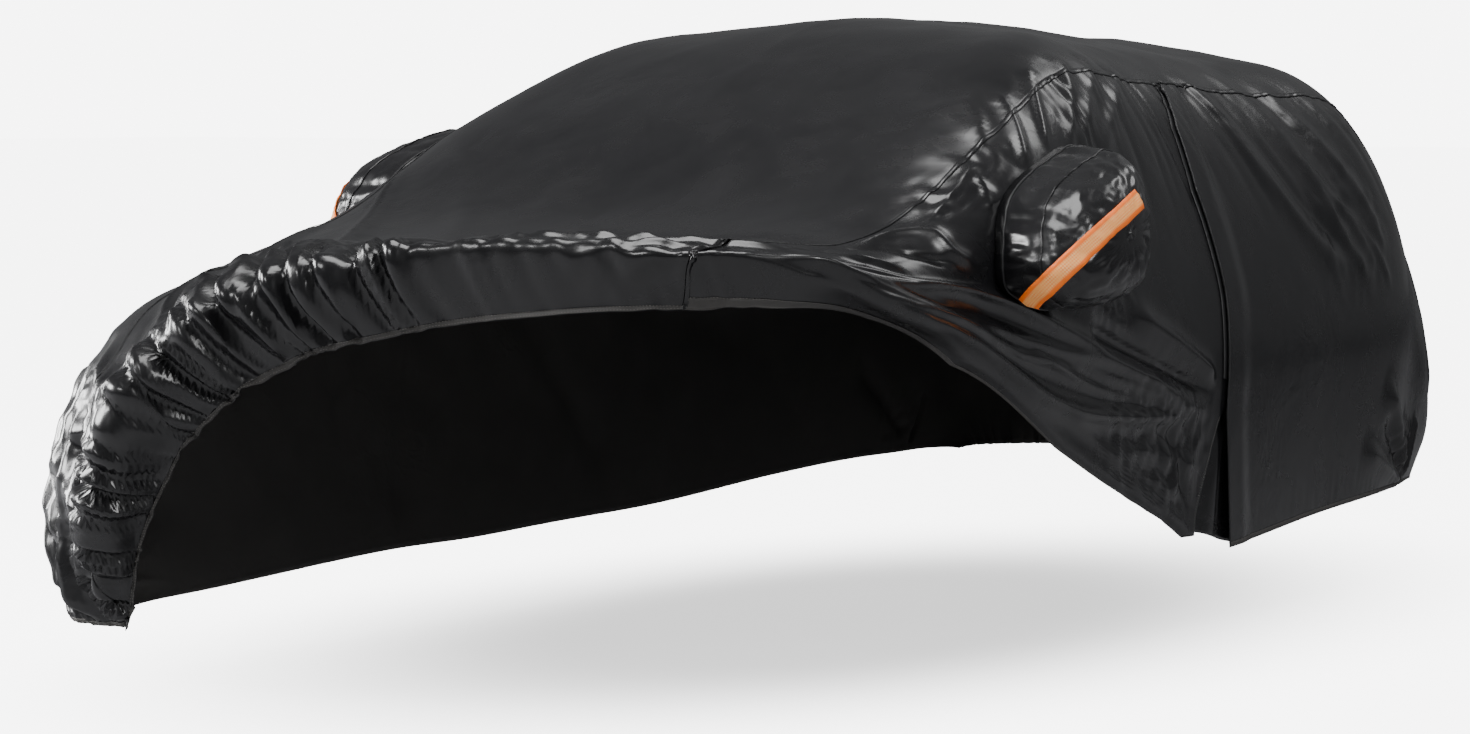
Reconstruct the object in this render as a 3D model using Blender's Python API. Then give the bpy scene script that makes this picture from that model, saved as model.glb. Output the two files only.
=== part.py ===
"""Fitted car cover, drawn back over the bonnet: eight cut pieces of coated cloth, each a closed thin solid.

Axes: the covered car faces -Y, its left side is +X, and +Z is up. Lengths are metres. Heights are taken from
the floor and distances from the car's nose while the cloth is worked out, and every point is then moved so
that the origin lies just under the cloth in the middle of the roof, where the car holds the cover up.
"""

import bpy
import bmesh
import numpy as np

# Driving dimensions
CLOTH_THICKNESS = 0.002
SEAM_GAP = 0.0012
HOLD_DISTANCE = 2.45
HOLD_CLEARANCE = 0.004

# Where the rail, the belt line and the hem lie across the cover (0 is the centre line, 1 is the side hem),
# and over how much of the width the cloth turns at the rail and at the belt line.
RAIL_ACROSS = 0.42
BELT_ACROSS = 0.68
RAIL_TURN = 0.13
BELT_TURN = 0.13
CROWN = 0.028

# Sections from the nose to the tail. "along" runs from 0 at the front hem to 1 at the rear hem. Each section
# crosses the centre line, the rail (bonnet edge, screen pillar, roof rail), the belt line and the side hem.
SECTIONS = (
    # along, centre_y, centre_z, rail_x, rail_y, rail_z, belt_x, belt_y, belt_z, hem_x, hem_y, hem_z
    # front hem, bumper, nose, bonnet lip, bonnet, foot of the screen
    (0.000, 0.02, 0.16, 0.62, 0.05, 0.15, 0.85, 0.14, 0.14, 0.90, 0.28, 0.13),
    (0.050, -0.03, 0.42, 0.67, 0.00, 0.42, 0.975, 0.16, 0.41, 0.94, 0.50, 0.14),
    (0.095, 0.00, 0.68, 0.70, 0.05, 0.68, 0.98, 0.25, 0.68, 0.94, 0.75, 0.15),
    (0.125, 0.10, 0.83, 0.73, 0.16, 0.825, 0.96, 0.36, 0.785, 0.94, 0.95, 0.16),
    (0.210, 0.60, 0.965, 0.81, 0.60, 0.99, 0.98, 0.74, 0.90, 0.935, 1.12, 0.17),
    (0.295, 1.10, 1.07, 0.89, 1.10, 1.11, 1.00, 1.19, 0.96, 0.94, 1.42, 0.18),
    # screen, roof, spoiler
    (0.380, 1.55, 1.35, 0.89, 1.58, 1.345, 0.98, 1.64, 0.94, 0.94, 1.75, 0.18),
    (0.460, 2.00, 1.545, 0.80, 2.00, 1.515, 0.96, 2.06, 0.92, 0.94, 2.10, 0.19),
    (0.560, 2.60, 1.575, 0.67, 2.60, 1.495, 0.94, 2.60, 0.92, 0.94, 2.57, 0.20),
    (0.680, 3.30, 1.545, 0.60, 3.30, 1.455, 0.93, 3.25, 0.92, 0.92, 3.15, 0.24),
    (0.790, 3.985, 1.445, 0.59, 3.98, 1.39, 0.90, 3.80, 0.90, 0.90, 3.58, 0.26),
    # tailgate, rear bumper, rear hem
    (0.845, 4.17, 1.18, 0.61, 4.105, 1.17, 0.86, 3.94, 0.80, 0.87, 3.76, 0.265),
    (0.900, 4.28, 0.87, 0.63, 4.22, 0.87, 0.85, 4.04, 0.63, 0.845, 3.87, 0.27),
    (0.950, 4.33, 0.55, 0.62, 4.27, 0.55, 0.82, 4.10, 0.44, 0.82, 3.95, 0.27),
    (1.000, 4.25, 0.29, 0.58, 4.19, 0.28, 0.75, 4.07, 0.275, 0.78, 4.00, 0.27),
)


def through_rows(table, where):
    """Read a table, whose first column rises, on a smooth curve through its rows, straight on past its ends."""
    table = np.array(table, float)
    knots, values = table[:, 0], table[:, 1:]
    slopes = np.gradient(values, knots, axis=0)
    asked = np.asarray(where, float)
    where = np.clip(asked, knots[0], knots[-1])
    row = np.clip(np.searchsorted(knots, where, side="right") - 1, 0, len(knots) - 2)
    span = (knots[row + 1] - knots[row])[..., None]
    t = (where - knots[row])[..., None] / span
    curve = ((1 + 2 * t) * (1 - t) ** 2 * values[row] + t * (1 - t) ** 2 * span * slopes[row]
             + t * t * (3 - 2 * t) * values[row + 1] + t * t * (t - 1) * span * slopes[row + 1])
    end_slope = np.where((asked < knots[0])[..., None], slopes[0], slopes[-1])
    return curve + (asked - where)[..., None] * end_slope


def soft_ramp(distance, turn):
    """Zero before a corner and rising one to one after it, with the corner rounded over +- turn."""
    inside = np.clip(turn - np.abs(distance), 0, None)
    return np.clip(distance, 0, None) + inside ** 2 / (4 * turn)


def fitted_form(across, along):
    """The smooth form of the cover at across (-1 right hem .. 1 left hem) and along (0 front .. 1 rear).

    Each section is a line from the centre to the rail, the belt line and the hem, its corners rounded by
    soft ramps, with a little crown added between the rails.
    """
    across, along = np.broadcast_arrays(np.asarray(across, float), np.asarray(along, float))
    cols = through_rows(SECTIONS, along)
    zero = np.zeros_like(across)
    centre = np.stack([zero, cols[..., 0], cols[..., 1]], -1)
    rail, belt, hem = cols[..., 2:5], cols[..., 5:8], cols[..., 8:11]
    width = np.abs(across)[..., None]
    first = (rail - centre) / RAIL_ACROSS
    second = (belt - rail) / (BELT_ACROSS - RAIL_ACROSS)
    third = (hem - belt) / (1 - BELT_ACROSS)
    point = centre + first * width
    point = point + (second - first) * soft_ramp(width - RAIL_ACROSS, RAIL_TURN)
    point = point + (third - second) * soft_ramp(width - BELT_ACROSS, BELT_TURN)
    # round the centre line too, so that the middle has no crease
    point[..., 2] += CROWN * np.clip(1 - (width[..., 0] / RAIL_ACROSS) ** 2, 0, None)
    point[..., 0] *= np.sign(across)
    return point


# The cut lines, as rows of (across, along): the lifted front hem, and the door opening's two edges.
FRONT_HEM = ((-1.00, 0.000), (-0.42, 0.000), (-0.35, 0.031), (-0.25, 0.073), (-0.15, 0.098), (-0.05, 0.113),
             (0.05, 0.122), (0.15, 0.133), (0.25, 0.143), (0.35, 0.155), (0.45, 0.170), (0.55, 0.190),
             (0.65, 0.228), (0.75, 0.276), (0.85, 0.373), (0.95, 0.490), (0.975, 0.512))
FLAP_EDGE = ((0.42, 0.585), (0.50, 0.566), (0.58, 0.558), (0.70, 0.562), (0.84, 0.558), (1.00, 0.566))
DOOR_EDGE = ((0.42, 0.597), (0.50, 0.578), (0.58, 0.570), (0.70, 0.574), (0.80, 0.570), (0.85, 0.553),
             (0.93, 0.534), (1.00, 0.519))
SEAM = RAIL_ACROSS
LIFTED_CORNER = 0.975
# About how much cloth one whole step of across or of along is.
METRES_ACROSS = 1.8
METRES_ALONG = 5.6

# The roll of cloth behind the lifted hem, by place across: how far behind the hem its crest lies, how high
# the crest stands above the fitted form, and how far the slope behind it runs.
ROLL = (
    # across, crest_back, crest_height, slope_back
    (-1.00, 0.10, 0.000, 0.30),
    (-0.50, 0.12, 0.010, 0.30),
    (-0.42, 0.14, 0.040, 0.34),
    (-0.25, 0.17, 0.095, 0.50),
    (0.00, 0.13, 0.125, 0.60),
    (0.30, 0.11, 0.120, 0.60),
    (0.50, 0.10, 0.095, 0.50),
    (0.62, 0.09, 0.050, 0.38),
    (0.75, 0.08, 0.018, 0.25),
    (1.00, 0.06, 0.008, 0.15),
)

# How far the hem is tucked back under the roll, as a share of the crest's height.
ROLL_TUCK = 0.75

# Main folds: where each starts and ends (across, along), its half width and its height (minus is a trough).
FOLDS = (
    # across_a, along_a, across_b, along_b, half_width, height
    # pulled from the fender to the top of the door opening
    (0.54, 0.262, 0.84, 0.552, 0.045, 0.018),
    (0.60, 0.285, 0.85, 0.550, 0.040, 0.016),
    (0.66, 0.310, 0.86, 0.548, 0.035, 0.014),
    (0.62, 0.345, 0.83, 0.560, 0.045, 0.012),
    # across the screen, from the bonnet edge to the right mirror
    (0.20, 0.240, -0.50, 0.345, 0.060, 0.010),
    (0.05, 0.230, -0.46, 0.300, 0.050, 0.012),
    (-0.10, 0.205, -0.48, 0.255, 0.045, 0.014),
    # down the tail quarter, and drawn in at the rear corner
    (0.45, 0.700, 0.80, 0.800, 0.060, 0.012),
    (0.46, 0.640, 0.90, 0.740, 0.070, 0.012),
    (0.78, 0.790, 0.99, 0.870, 0.040, 0.020),
    (0.90, 0.720, 0.99, 0.868, 0.040, 0.018),
    (-0.45, 0.700, -0.82, 0.800, 0.060, 0.012),
    (-0.80, 0.800, -0.99, 0.870, 0.040, 0.020),
    # the slack right front corner
    (-0.55, 0.020, -0.72, 0.120, 0.050, 0.028),
    (-0.70, 0.010, -0.86, 0.110, 0.050, 0.026),
    (-0.88, 0.010, -0.95, 0.110, 0.045, 0.022),
    (-0.62, 0.090, -0.92, 0.160, 0.050, -0.018),
    # behind the right mirror and along the right side
    (-0.66, 0.400, -0.95, 0.520, 0.070, 0.014),
    (-0.66, 0.420, -0.80, 0.640, 0.080, 0.014),
)

# Mirror pockets: place across and along of the middle, half height across, half length along, and depth.
POCKETS = {
    # across, along, half_across, half_along, depth
    "left": (0.598, 0.3785, 0.096, 0.0465, 0.245),
    "right": (-0.568, 0.379, 0.095, 0.037, 0.203),
}
POCKET_FULLNESS = 3.4
POCKET_SQUARENESS = 2.8
POCKET_FACING = (0.985, -0.17, 0.0)
POCKET_LEAN = 0.013
POCKET_LIFT = 0.005
POCKET_SIDES = 24
POCKET_RINGS = 9
MIRROR_PULL = 0.035
MIRROR_PULL_REACH = 0.30
POCKET_HOLE = 0.84
# The strip's low end, middle and high end on a pocket, as degrees round it (0 points to the tail, 90 down,
# 180 to the nose) and as a share of the way from its sewn edge to its tip.
STRIP_PLACES = (
    # share of its length, degrees round the pocket, share of the way to its tip
    (0.00, 131.0, 0.06),
    (0.35, 160.0, 0.33),
    (0.60, 180.0, 0.60),
    (0.80, 208.0, 0.80),
    (0.91, 240.0, 0.87),
    (1.00, 283.0, 0.85),
)
STRIP_STEPS = 16
STRIP_WIDTH = 0.05
STRIP_SIDE_WALK = 3
STRIP_LOWEST = 0.03
STRIP_THICKNESS = 0.0012
STRIP_LIFT = 0.003
FLAP_LIFT = 0.009
FLAP_BLEND = 0.030


def on_line(line, across):
    """Where a cut line lies along the cover at each place across, straight from row to row."""
    line = np.array(line)
    return np.interp(across, line[:, 0], line[:, 1])


def smooth_step(value):
    """Zero below 0, one above 1, and a smooth rise between them."""
    value = np.clip(value, 0, 1)
    return value * value * (3 - 2 * value)


def outward(form, across, along, step=0.004):
    """The unit normal of a surface function of (across, along), pointing away from the car, by differences."""
    side = form(across + step, along) - form(across - step, along)
    back = form(across, along + step) - form(across, along - step)
    normal = np.cross(side, back)
    return normal / np.linalg.norm(normal, axis=-1, keepdims=True)


def roll_behind_hem(across, along):
    """Height of the roll and its backward shift, both from the distance behind the lifted hem.

    The height climbs to the crest within crest_back and falls away over slope_back behind it.
    """
    crest_back, crest_height, slope_back = np.moveaxis(through_rows(ROLL, across), -1, 0)
    distance = (along - on_line(FRONT_HEM, across)) * METRES_ALONG
    climb = smooth_step(distance / crest_back)
    fall = 1 - smooth_step((distance - crest_back) / slope_back)
    return crest_height * climb * fall, ROLL_TUCK * crest_height * (1 - climb)


def fold_height(across, along):
    """The main folds: each is a soft ridge round the line from its start to its end, fading at both ends."""
    height = np.zeros_like(across)
    for across_a, along_a, across_b, along_b, half_width, rise in FOLDS:
        start = np.array([across_a * METRES_ACROSS, along_a * METRES_ALONG])
        run = np.array([across_b * METRES_ACROSS, along_b * METRES_ALONG]) - start
        length = np.linalg.norm(run)
        east = across * METRES_ACROSS - start[0]
        north = along * METRES_ALONG - start[1]
        reached = (east * run[0] + north * run[1]) / length ** 2
        aside = (east * run[1] - north * run[0]) / length
        fade = np.sin(np.pi * np.clip(reached, 0, 1)) ** 0.6
        height += rise * fade * np.exp(-(aside / half_width) ** 2)
    return height


def mirror_pull(across, along):
    """How far the mirrors draw the side cloth out round the pockets."""
    pull = np.zeros_like(across)
    for pocket in POCKETS.values():
        middle_across, middle_along = pocket[:2]
        east = (across - middle_across) * METRES_ACROSS
        north = (along - middle_along) * METRES_ALONG
        pull += MIRROR_PULL * np.exp(-(east ** 2 + north ** 2) / MIRROR_PULL_REACH ** 2)
    return pull


def draped(across, along):
    """The outer face of the draped cover, with heights from the floor and distances from the car's nose."""
    across, along = np.broadcast_arrays(np.asarray(across, float), np.asarray(along, float))
    height, forward = roll_behind_hem(across, along)
    height = height + fold_height(across, along) + mirror_pull(across, along)
    point = fitted_form(across, along) + outward(fitted_form, across, along) * height[..., None]
    point[..., 1] += forward
    return point


# The height of the roof's underside, where the car holds the cover up: the origin of the part.
ROOF_ALONG = 0.535
ROOF_HEIGHT = draped(np.zeros(1), np.full(1, ROOF_ALONG))[0, 2] - CLOTH_THICKNESS - HOLD_CLEARANCE


def cloth(across, along):
    """The outer face of the draped cover, in the part's frame."""
    return draped(across, along) - (0, HOLD_DISTANCE, ROOF_HEIGHT)


def flap_lift(across, along):
    """The rear side cloth stands off the front one where the two overlap at the door opening."""
    behind = (along - on_line(FLAP_EDGE, across)) / FLAP_BLEND
    return FLAP_LIFT * (1 - smooth_step((behind - 0.5) / 0.5))


def mesh_piece(name, points, faces, material):
    """One object from points and faces: triangles, with its normals out and its folds shaded smooth."""
    mesh = bpy.data.meshes.new(name)
    mesh.from_pydata(points.tolist(), [], faces)
    work = bmesh.new()
    work.from_mesh(mesh)
    bmesh.ops.triangulate(work, faces=work.faces[:])
    bmesh.ops.recalc_face_normals(work, faces=work.faces[:])
    work.to_mesh(mesh)
    work.free()
    mesh.shade_smooth()
    mesh.set_sharp_from_angle(angle=np.radians(50))
    mesh.materials.append(material)
    piece = bpy.data.objects.new(name, mesh)
    bpy.context.scene.collection.objects.link(piece)
    return piece


def sheet_solid(name, outer, normal, kept, material, thickness=CLOTH_THICKNESS):
    """A closed thin solid: the outer face, the inner face one thickness in, and a wall along every free edge.

    outer and normal are grids of points, and kept says which of the grid's cells are cloth.
    """
    rows, columns = outer.shape[:2]
    number = np.arange(rows * columns).reshape(rows, columns)
    cells = np.stack([number[:-1, :-1], number[:-1, 1:], number[1:, 1:], number[1:, :-1]], -1)[kept]
    used = np.unique(cells)
    renumber = np.full(rows * columns, -1)
    renumber[used] = np.arange(len(used))
    cells = renumber[cells]
    outside = outer.reshape(-1, 3)[used]
    inside = outside - thickness * normal.reshape(-1, 3)[used]
    count = len(used)
    edges = {}
    for cell in cells.tolist():
        for first, second in zip(cell, cell[1:] + cell[:1]):
            edges[(first, second)] = True
    walls = [(second, first, first + count, second + count)
             for first, second in edges if (second, first) not in edges]
    faces = cells.tolist() + (cells[:, ::-1] + count).tolist() + walls
    return mesh_piece(name, np.vstack([outside, inside]), faces, material)


def make_material(name, colour, roughness):
    """A plain material of one colour."""
    material = bpy.data.materials.new(name)
    material.use_nodes = True
    shader = material.node_tree.nodes["Principled BSDF"]
    shader.inputs["Base Color"].default_value = (*colour, 1.0)
    shader.inputs["Roughness"].default_value = roughness
    return material


def pocket_disc(across, along, side):
    """Place on a pocket's base: (0, 0) is its middle and the unit circle its sewn edge."""
    middle_across, middle_along, half_across, half_along = POCKETS[side][:4]
    height = (across - middle_across) / half_across
    lean = np.sign(middle_across) * height * POCKET_LEAN
    return (along - middle_along + lean) / half_along, height


def disc_radius(length, height):
    """Distance from the middle of a pocket's base, 1 all along its sewn edge, which is a squarish round."""
    power = POCKET_SQUARENESS
    return (np.abs(length) ** power + np.abs(height) ** power) ** (1 / power)


def cut_pocket_hole(across, along, side):
    """Move the grid points at the hole's rim onto the rim, and say which cells remain."""
    middle_across, middle_along, half_across, half_along = POCKETS[side][:4]
    length, height = pocket_disc(across, along, side)
    centre_length = (length[:-1, :-1] + length[1:, 1:] + length[:-1, 1:] + length[1:, :-1]) / 4
    centre_height = (height[:-1, :-1] + height[1:, 1:] + height[:-1, 1:] + height[1:, :-1]) / 4
    kept = disc_radius(centre_length, centre_height) > POCKET_HOLE
    padded = np.pad(kept, 1, constant_values=True)
    around = np.stack([padded[:-1, :-1], padded[:-1, 1:], padded[1:, 1:], padded[1:, :-1]])
    rim = around.any(0) & ~around.all(0)
    radius = np.maximum(disc_radius(length, height), 1e-6)
    length = np.where(rim, length / radius * POCKET_HOLE, length)
    height = np.where(rim, height / radius * POCKET_HOLE, height)
    lean = np.sign(middle_across) * height * POCKET_LEAN
    return middle_across + height * half_across, middle_along + length * half_along - lean, kept


def pocket_point(turn, rise, side):
    """A pocket's outer face, turn degrees round it and rise (0..1) of the way from its sewn edge to its tip.

    Its sections are squarish rounds that shrink to the tip on a superellipse, drawn outwards and a little
    forwards from the side cloth.
    """
    middle_across, middle_along, half_across, half_along, depth = POCKETS[side]
    turn, rise = np.radians(turn), 0.5 * np.pi * rise
    shrink = np.cos(rise) ** (2 / POCKET_FULLNESS) / disc_radius(np.cos(turn), np.sin(turn))
    across = middle_across + np.sign(middle_across) * shrink * np.sin(turn) * half_across
    along = middle_along + shrink * (np.cos(turn) * half_along - np.sin(turn) * POCKET_LEAN)
    reach = depth * np.sin(rise) ** (2 / POCKET_FULLNESS)
    facing = np.array(POCKET_FACING) * (np.sign(middle_across), 1, 1)
    lifted = cloth(across, along) + POCKET_LIFT * outward(cloth, across, along)
    return lifted + reach[..., None] * facing


def grid_normal(points, towards):
    """Normals of a grid of points, on the side that faces towards."""
    down = np.gradient(points, axis=0)
    right = np.gradient(points, axis=1)
    normal = np.cross(down, right)
    size = np.linalg.norm(normal, axis=-1, keepdims=True)
    normal = normal / np.where(size > 0, size, 1)
    middle = normal[normal.shape[0] // 2, normal.shape[1] // 2]
    return normal if middle @ np.array(towards) > 0 else -normal


# Rows of the panels' grids. The panels that meet along a seam share its rows, so that their edges match.
SEAM_FRONT = on_line(FRONT_HEM, SEAM)
FLAP_ROW = (on_line(FLAP_EDGE, SEAM) - SEAM_FRONT) / (1 - SEAM_FRONT)
DOOR_ROW = (on_line(DOOR_EDGE, SEAM) - SEAM_FRONT) / (1 - SEAM_FRONT)
# Before the door opening the rows crowd towards the hem, where the roll turns most.
ROWS_BEFORE = FLAP_ROW * np.linspace(0, 1, 22) ** 1.5
ROWS_AFTER = np.linspace(DOOR_ROW, 1, 19)
TOP_STEPS = np.linspace(-1, 1, 17)
ROWS = np.concatenate([ROWS_BEFORE, ROWS_AFTER])
SIDE_STEPS = np.linspace(0, 1, 14)
HALF_GAP = 0.5 * SEAM_GAP / METRES_ACROSS
# How far the front side cloth stops short of the door opening's rear edge.
DOOR_GAP = 0.004


def panel(name, across, along, kept, material, lift=None):
    """One panel of the cover from its grid of places, stood off the drape by lift where that is given."""
    outer = cloth(across, along)
    normal = outward(cloth, across, along)
    if lift is not None:
        outer = outer + normal * lift[..., None]
    return sheet_solid(name, outer, normal, kept, material)


def whole(across):
    """A mark for every cell of a grid, all of them cloth."""
    return np.ones((across.shape[0] - 1, across.shape[1] - 1), bool)


def make_top_panel(material):
    """Bonnet, screen, roof and tail, between the two seams; its grid follows the lifted hem."""
    across = ((SEAM - HALF_GAP) * TOP_STEPS)[None, :]
    front = on_line(FRONT_HEM, SEAM * TOP_STEPS)[None, :]
    along = front + (1 - front) * ROWS[:, None]
    across = across + 0 * along
    return panel("top_panel", across, along, whole(across), material)


def make_side_panel_right(material):
    """The whole right side, with a hole for the mirror pocket."""
    across = -(SEAM + HALF_GAP + (1 - SEAM - HALF_GAP) * SIDE_STEPS)[None, :]
    along = ROWS[:, None] + 0 * across
    across = across + 0 * along
    across, along, kept = cut_pocket_hole(across, along, "right")
    return panel("side_panel_right", across[:, ::-1], along[:, ::-1], kept[:, ::-1], material)


def make_side_panel_left_front(material):
    """The left side from the lifted hem to the door opening, with a hole for the mirror pocket."""
    steps = SEAM + (LIFTED_CORNER - SEAM) * SIDE_STEPS
    across = (SEAM + HALF_GAP + (LIFTED_CORNER - SEAM - HALF_GAP) * SIDE_STEPS)[None, :]
    front = on_line(FRONT_HEM, steps)[None, :]
    flap = on_line(FLAP_EDGE, steps)[None, :]
    door = on_line(DOOR_EDGE, steps)[None, :]
    last = np.minimum(flap, door - DOOR_GAP)
    along = front + (last - front) * (ROWS_BEFORE / FLAP_ROW)[:, None]
    along = np.concatenate([along, door])
    across = across + 0 * along
    across, along, kept = cut_pocket_hole(across, along, "left")
    return panel("side_panel_left_front", across, along, kept, material)


def make_side_panel_left_rear(material):
    """The left side behind the door opening, its front edge standing off the cloth it overlaps."""
    steps = SEAM + (1 - SEAM) * SIDE_STEPS
    across = (SEAM + HALF_GAP + (1 - SEAM - HALF_GAP) * SIDE_STEPS)[None, :]
    flap = on_line(FLAP_EDGE, steps)[None, :]
    rows = np.concatenate([[FLAP_ROW], ROWS_AFTER])
    share = (rows - FLAP_ROW) / (1 - FLAP_ROW)
    along = flap + (1 - flap) * share[:, None]
    across = across + 0 * along
    return panel("side_panel_left_rear", across, along, whole(across), material, flap_lift(across, along))


def make_mirror_pocket(side, material):
    """A bag, open where it is sewn to the side cloth: rings of points that close on one point at the tip."""
    turn = np.linspace(0, 360, POCKET_SIDES + 1)[None, :]
    rise = np.linspace(0, 1, POCKET_RINGS + 1)[:-1, None]
    ring = pocket_point(turn + 0 * rise, rise + 0 * turn, side)
    tip = pocket_point(np.zeros(1), np.ones(1), side)
    sign = np.sign(POCKETS[side][0])
    wrapped = np.concatenate([ring[:, -2:-1], ring, ring[:, 1:2]], axis=1)
    front = POCKET_SIDES // 2
    normal = np.cross(np.gradient(wrapped, axis=0), np.gradient(wrapped, axis=1))[:, 1:-1]
    normal = normal / np.linalg.norm(normal, axis=-1, keepdims=True)
    if normal[2, front, 1] > 0:
        normal = -normal
    points = np.vstack([ring[:, :-1].reshape(-1, 3), tip])
    normals = np.vstack([normal[:, :-1].reshape(-1, 3), [[sign, 0, 0]]])
    inner = points - CLOTH_THICKNESS * normals
    count = len(points)
    start = np.arange(POCKET_SIDES)
    beside = (start + 1) % POCKET_SIDES
    steps = POCKET_SIDES * np.arange(POCKET_RINGS - 1)[:, None]
    sides = np.stack([start + steps, beside + steps, beside + steps + POCKET_SIDES,
                      start + steps + POCKET_SIDES], -1).reshape(-1, 4).tolist()
    last = POCKET_SIDES * (POCKET_RINGS - 1)
    cap = np.stack([last + start, last + beside, np.full(POCKET_SIDES, count - 1)], -1).tolist()
    inside = [[number + count for number in reversed(face)] for face in sides + cap]
    wall = np.stack([beside, start, start + count, beside + count], -1).tolist()
    return mesh_piece("mirror_pocket_" + side, np.vstack([points, inner]), sides + cap + inside + wall, material)


def strip_places(side):
    """Places (turn, rise) on the pocket of the strip's two edges and middle, a row for each step along it.

    Each edge is walked out from the middle line in short steps square to it, over the pocket's surface.
    """
    turn, rise = through_rows(STRIP_PLACES, np.linspace(0, 1, STRIP_STEPS + 1)).T
    ahead = np.gradient(pocket_point(turn, rise, side), axis=0)
    lines = {0: (turn, rise)}
    for way in (-1, 1):
        t, r = turn, rise
        for _ in range(STRIP_SIDE_WALK):
            per_turn = pocket_point(t + 1, r, side) - pocket_point(t - 1, r, side)
            per_rise = pocket_point(t, r + 0.01, side) - pocket_point(t, r - 0.01, side)
            aside = np.cross(np.cross(per_turn, per_rise), ahead)
            aside *= way * 0.5 * STRIP_WIDTH / STRIP_SIDE_WALK / np.linalg.norm(aside, axis=-1, keepdims=True)
            # solve aside = a * per_turn + b * per_rise, and move by a and b
            tt, tr, rr = [(one * two).sum(-1) for one, two in
                          ((per_turn, per_turn), (per_turn, per_rise), (per_rise, per_rise))]
            at, ar = (aside * per_turn).sum(-1), (aside * per_rise).sum(-1)
            size = tt * rr - tr * tr
            t = t + 2 * (at * rr - ar * tr) / size
            r = np.clip(r + 0.02 * (ar * tt - at * tr) / size, STRIP_LOWEST, 1)
        lines[way] = (t, r)
    return [np.stack([lines[way][axis] for way in (-1, 0, 1)], -1) for axis in (0, 1)]


def make_reflective_strip(side, material):
    """A flat strip laid over the pocket, on a smooth line through its places on it."""
    turn, rise = strip_places(side)
    lower = pocket_point(turn, rise, side)
    normal = grid_normal(lower, (0.0, -1.0, 0.0))
    outer = lower + (STRIP_LIFT + STRIP_THICKNESS) * normal
    return sheet_solid("reflective_strip_" + side, outer, normal, whole(outer), material, STRIP_THICKNESS)


for leftover in list(bpy.data.objects):
    bpy.data.objects.remove(leftover, do_unlink=True)

coated_cloth = make_material("coated_cloth", (0.022, 0.022, 0.025), 0.38)
pocket_cloth = make_material("pocket_cloth", (0.026, 0.026, 0.028), 0.34)
reflective = make_material("reflective", (0.90, 0.42, 0.08), 0.30)
make_top_panel(coated_cloth)
make_side_panel_right(coated_cloth)
make_side_panel_left_front(coated_cloth)
make_side_panel_left_rear(coated_cloth)
for pocket_side in POCKETS:
    make_mirror_pocket(pocket_side, pocket_cloth)
    make_reflective_strip(pocket_side, reflective)
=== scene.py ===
"""A fitted car cover of coated cloth, drawn back over the bonnet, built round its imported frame.

The covered car faces -Y, its left side is +X and +Z is up. The car itself is left out.
"""

import bmesh
import bpy
import numpy as np
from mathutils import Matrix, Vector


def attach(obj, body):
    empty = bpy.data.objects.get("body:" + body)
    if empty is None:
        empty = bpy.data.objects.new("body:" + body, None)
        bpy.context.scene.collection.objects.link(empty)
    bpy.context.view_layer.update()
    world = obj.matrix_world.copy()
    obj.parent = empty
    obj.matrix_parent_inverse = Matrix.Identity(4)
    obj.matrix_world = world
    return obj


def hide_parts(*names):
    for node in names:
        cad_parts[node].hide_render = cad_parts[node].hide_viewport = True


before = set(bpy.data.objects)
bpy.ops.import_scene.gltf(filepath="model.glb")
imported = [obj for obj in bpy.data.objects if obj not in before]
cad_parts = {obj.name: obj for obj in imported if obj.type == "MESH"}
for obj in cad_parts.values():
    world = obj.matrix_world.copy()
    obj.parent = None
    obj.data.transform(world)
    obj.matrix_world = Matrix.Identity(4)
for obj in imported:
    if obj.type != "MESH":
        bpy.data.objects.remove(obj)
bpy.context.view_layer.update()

# ---------------------------------------------------------------------------------------------------------
# Camera: low, in front of the car's left headlamp, with a long lens.
# ---------------------------------------------------------------------------------------------------------
camera_lens = bpy.data.cameras.new("camera")
camera_lens.sensor_width = 36.0
camera_lens.lens = 92.0
camera = bpy.data.objects.new("camera", camera_lens)
camera.location = (5.654, -8.64, -0.2116)
camera.rotation_euler = np.radians((85.91, 0.0, 35.71))
bpy.context.scene.collection.objects.link(camera)
bpy.context.scene.camera = camera

# ---------------------------------------------------------------------------------------------------------
# Studio: a pale floor under the car's wheels, a pale surround, and large soft lamps over and beside it.
# ---------------------------------------------------------------------------------------------------------
FLOOR_HEIGHT = -1.5986
FLOOR_REACH = 90.0
FLOOR_GLOW = 6.5
# A painted pool of shade under the cover, where the floor's glow is lowered: an ellipse that is full depth to
# SHADE_CORE of its reach.
SHADE_MIDDLE = (0.05, -0.35, FLOOR_HEIGHT)
SHADE_REACH = (1.75, 3.1, 1.0)
SHADE_CORE = 0.25
SHADE_DEPTH = 0.80


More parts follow.
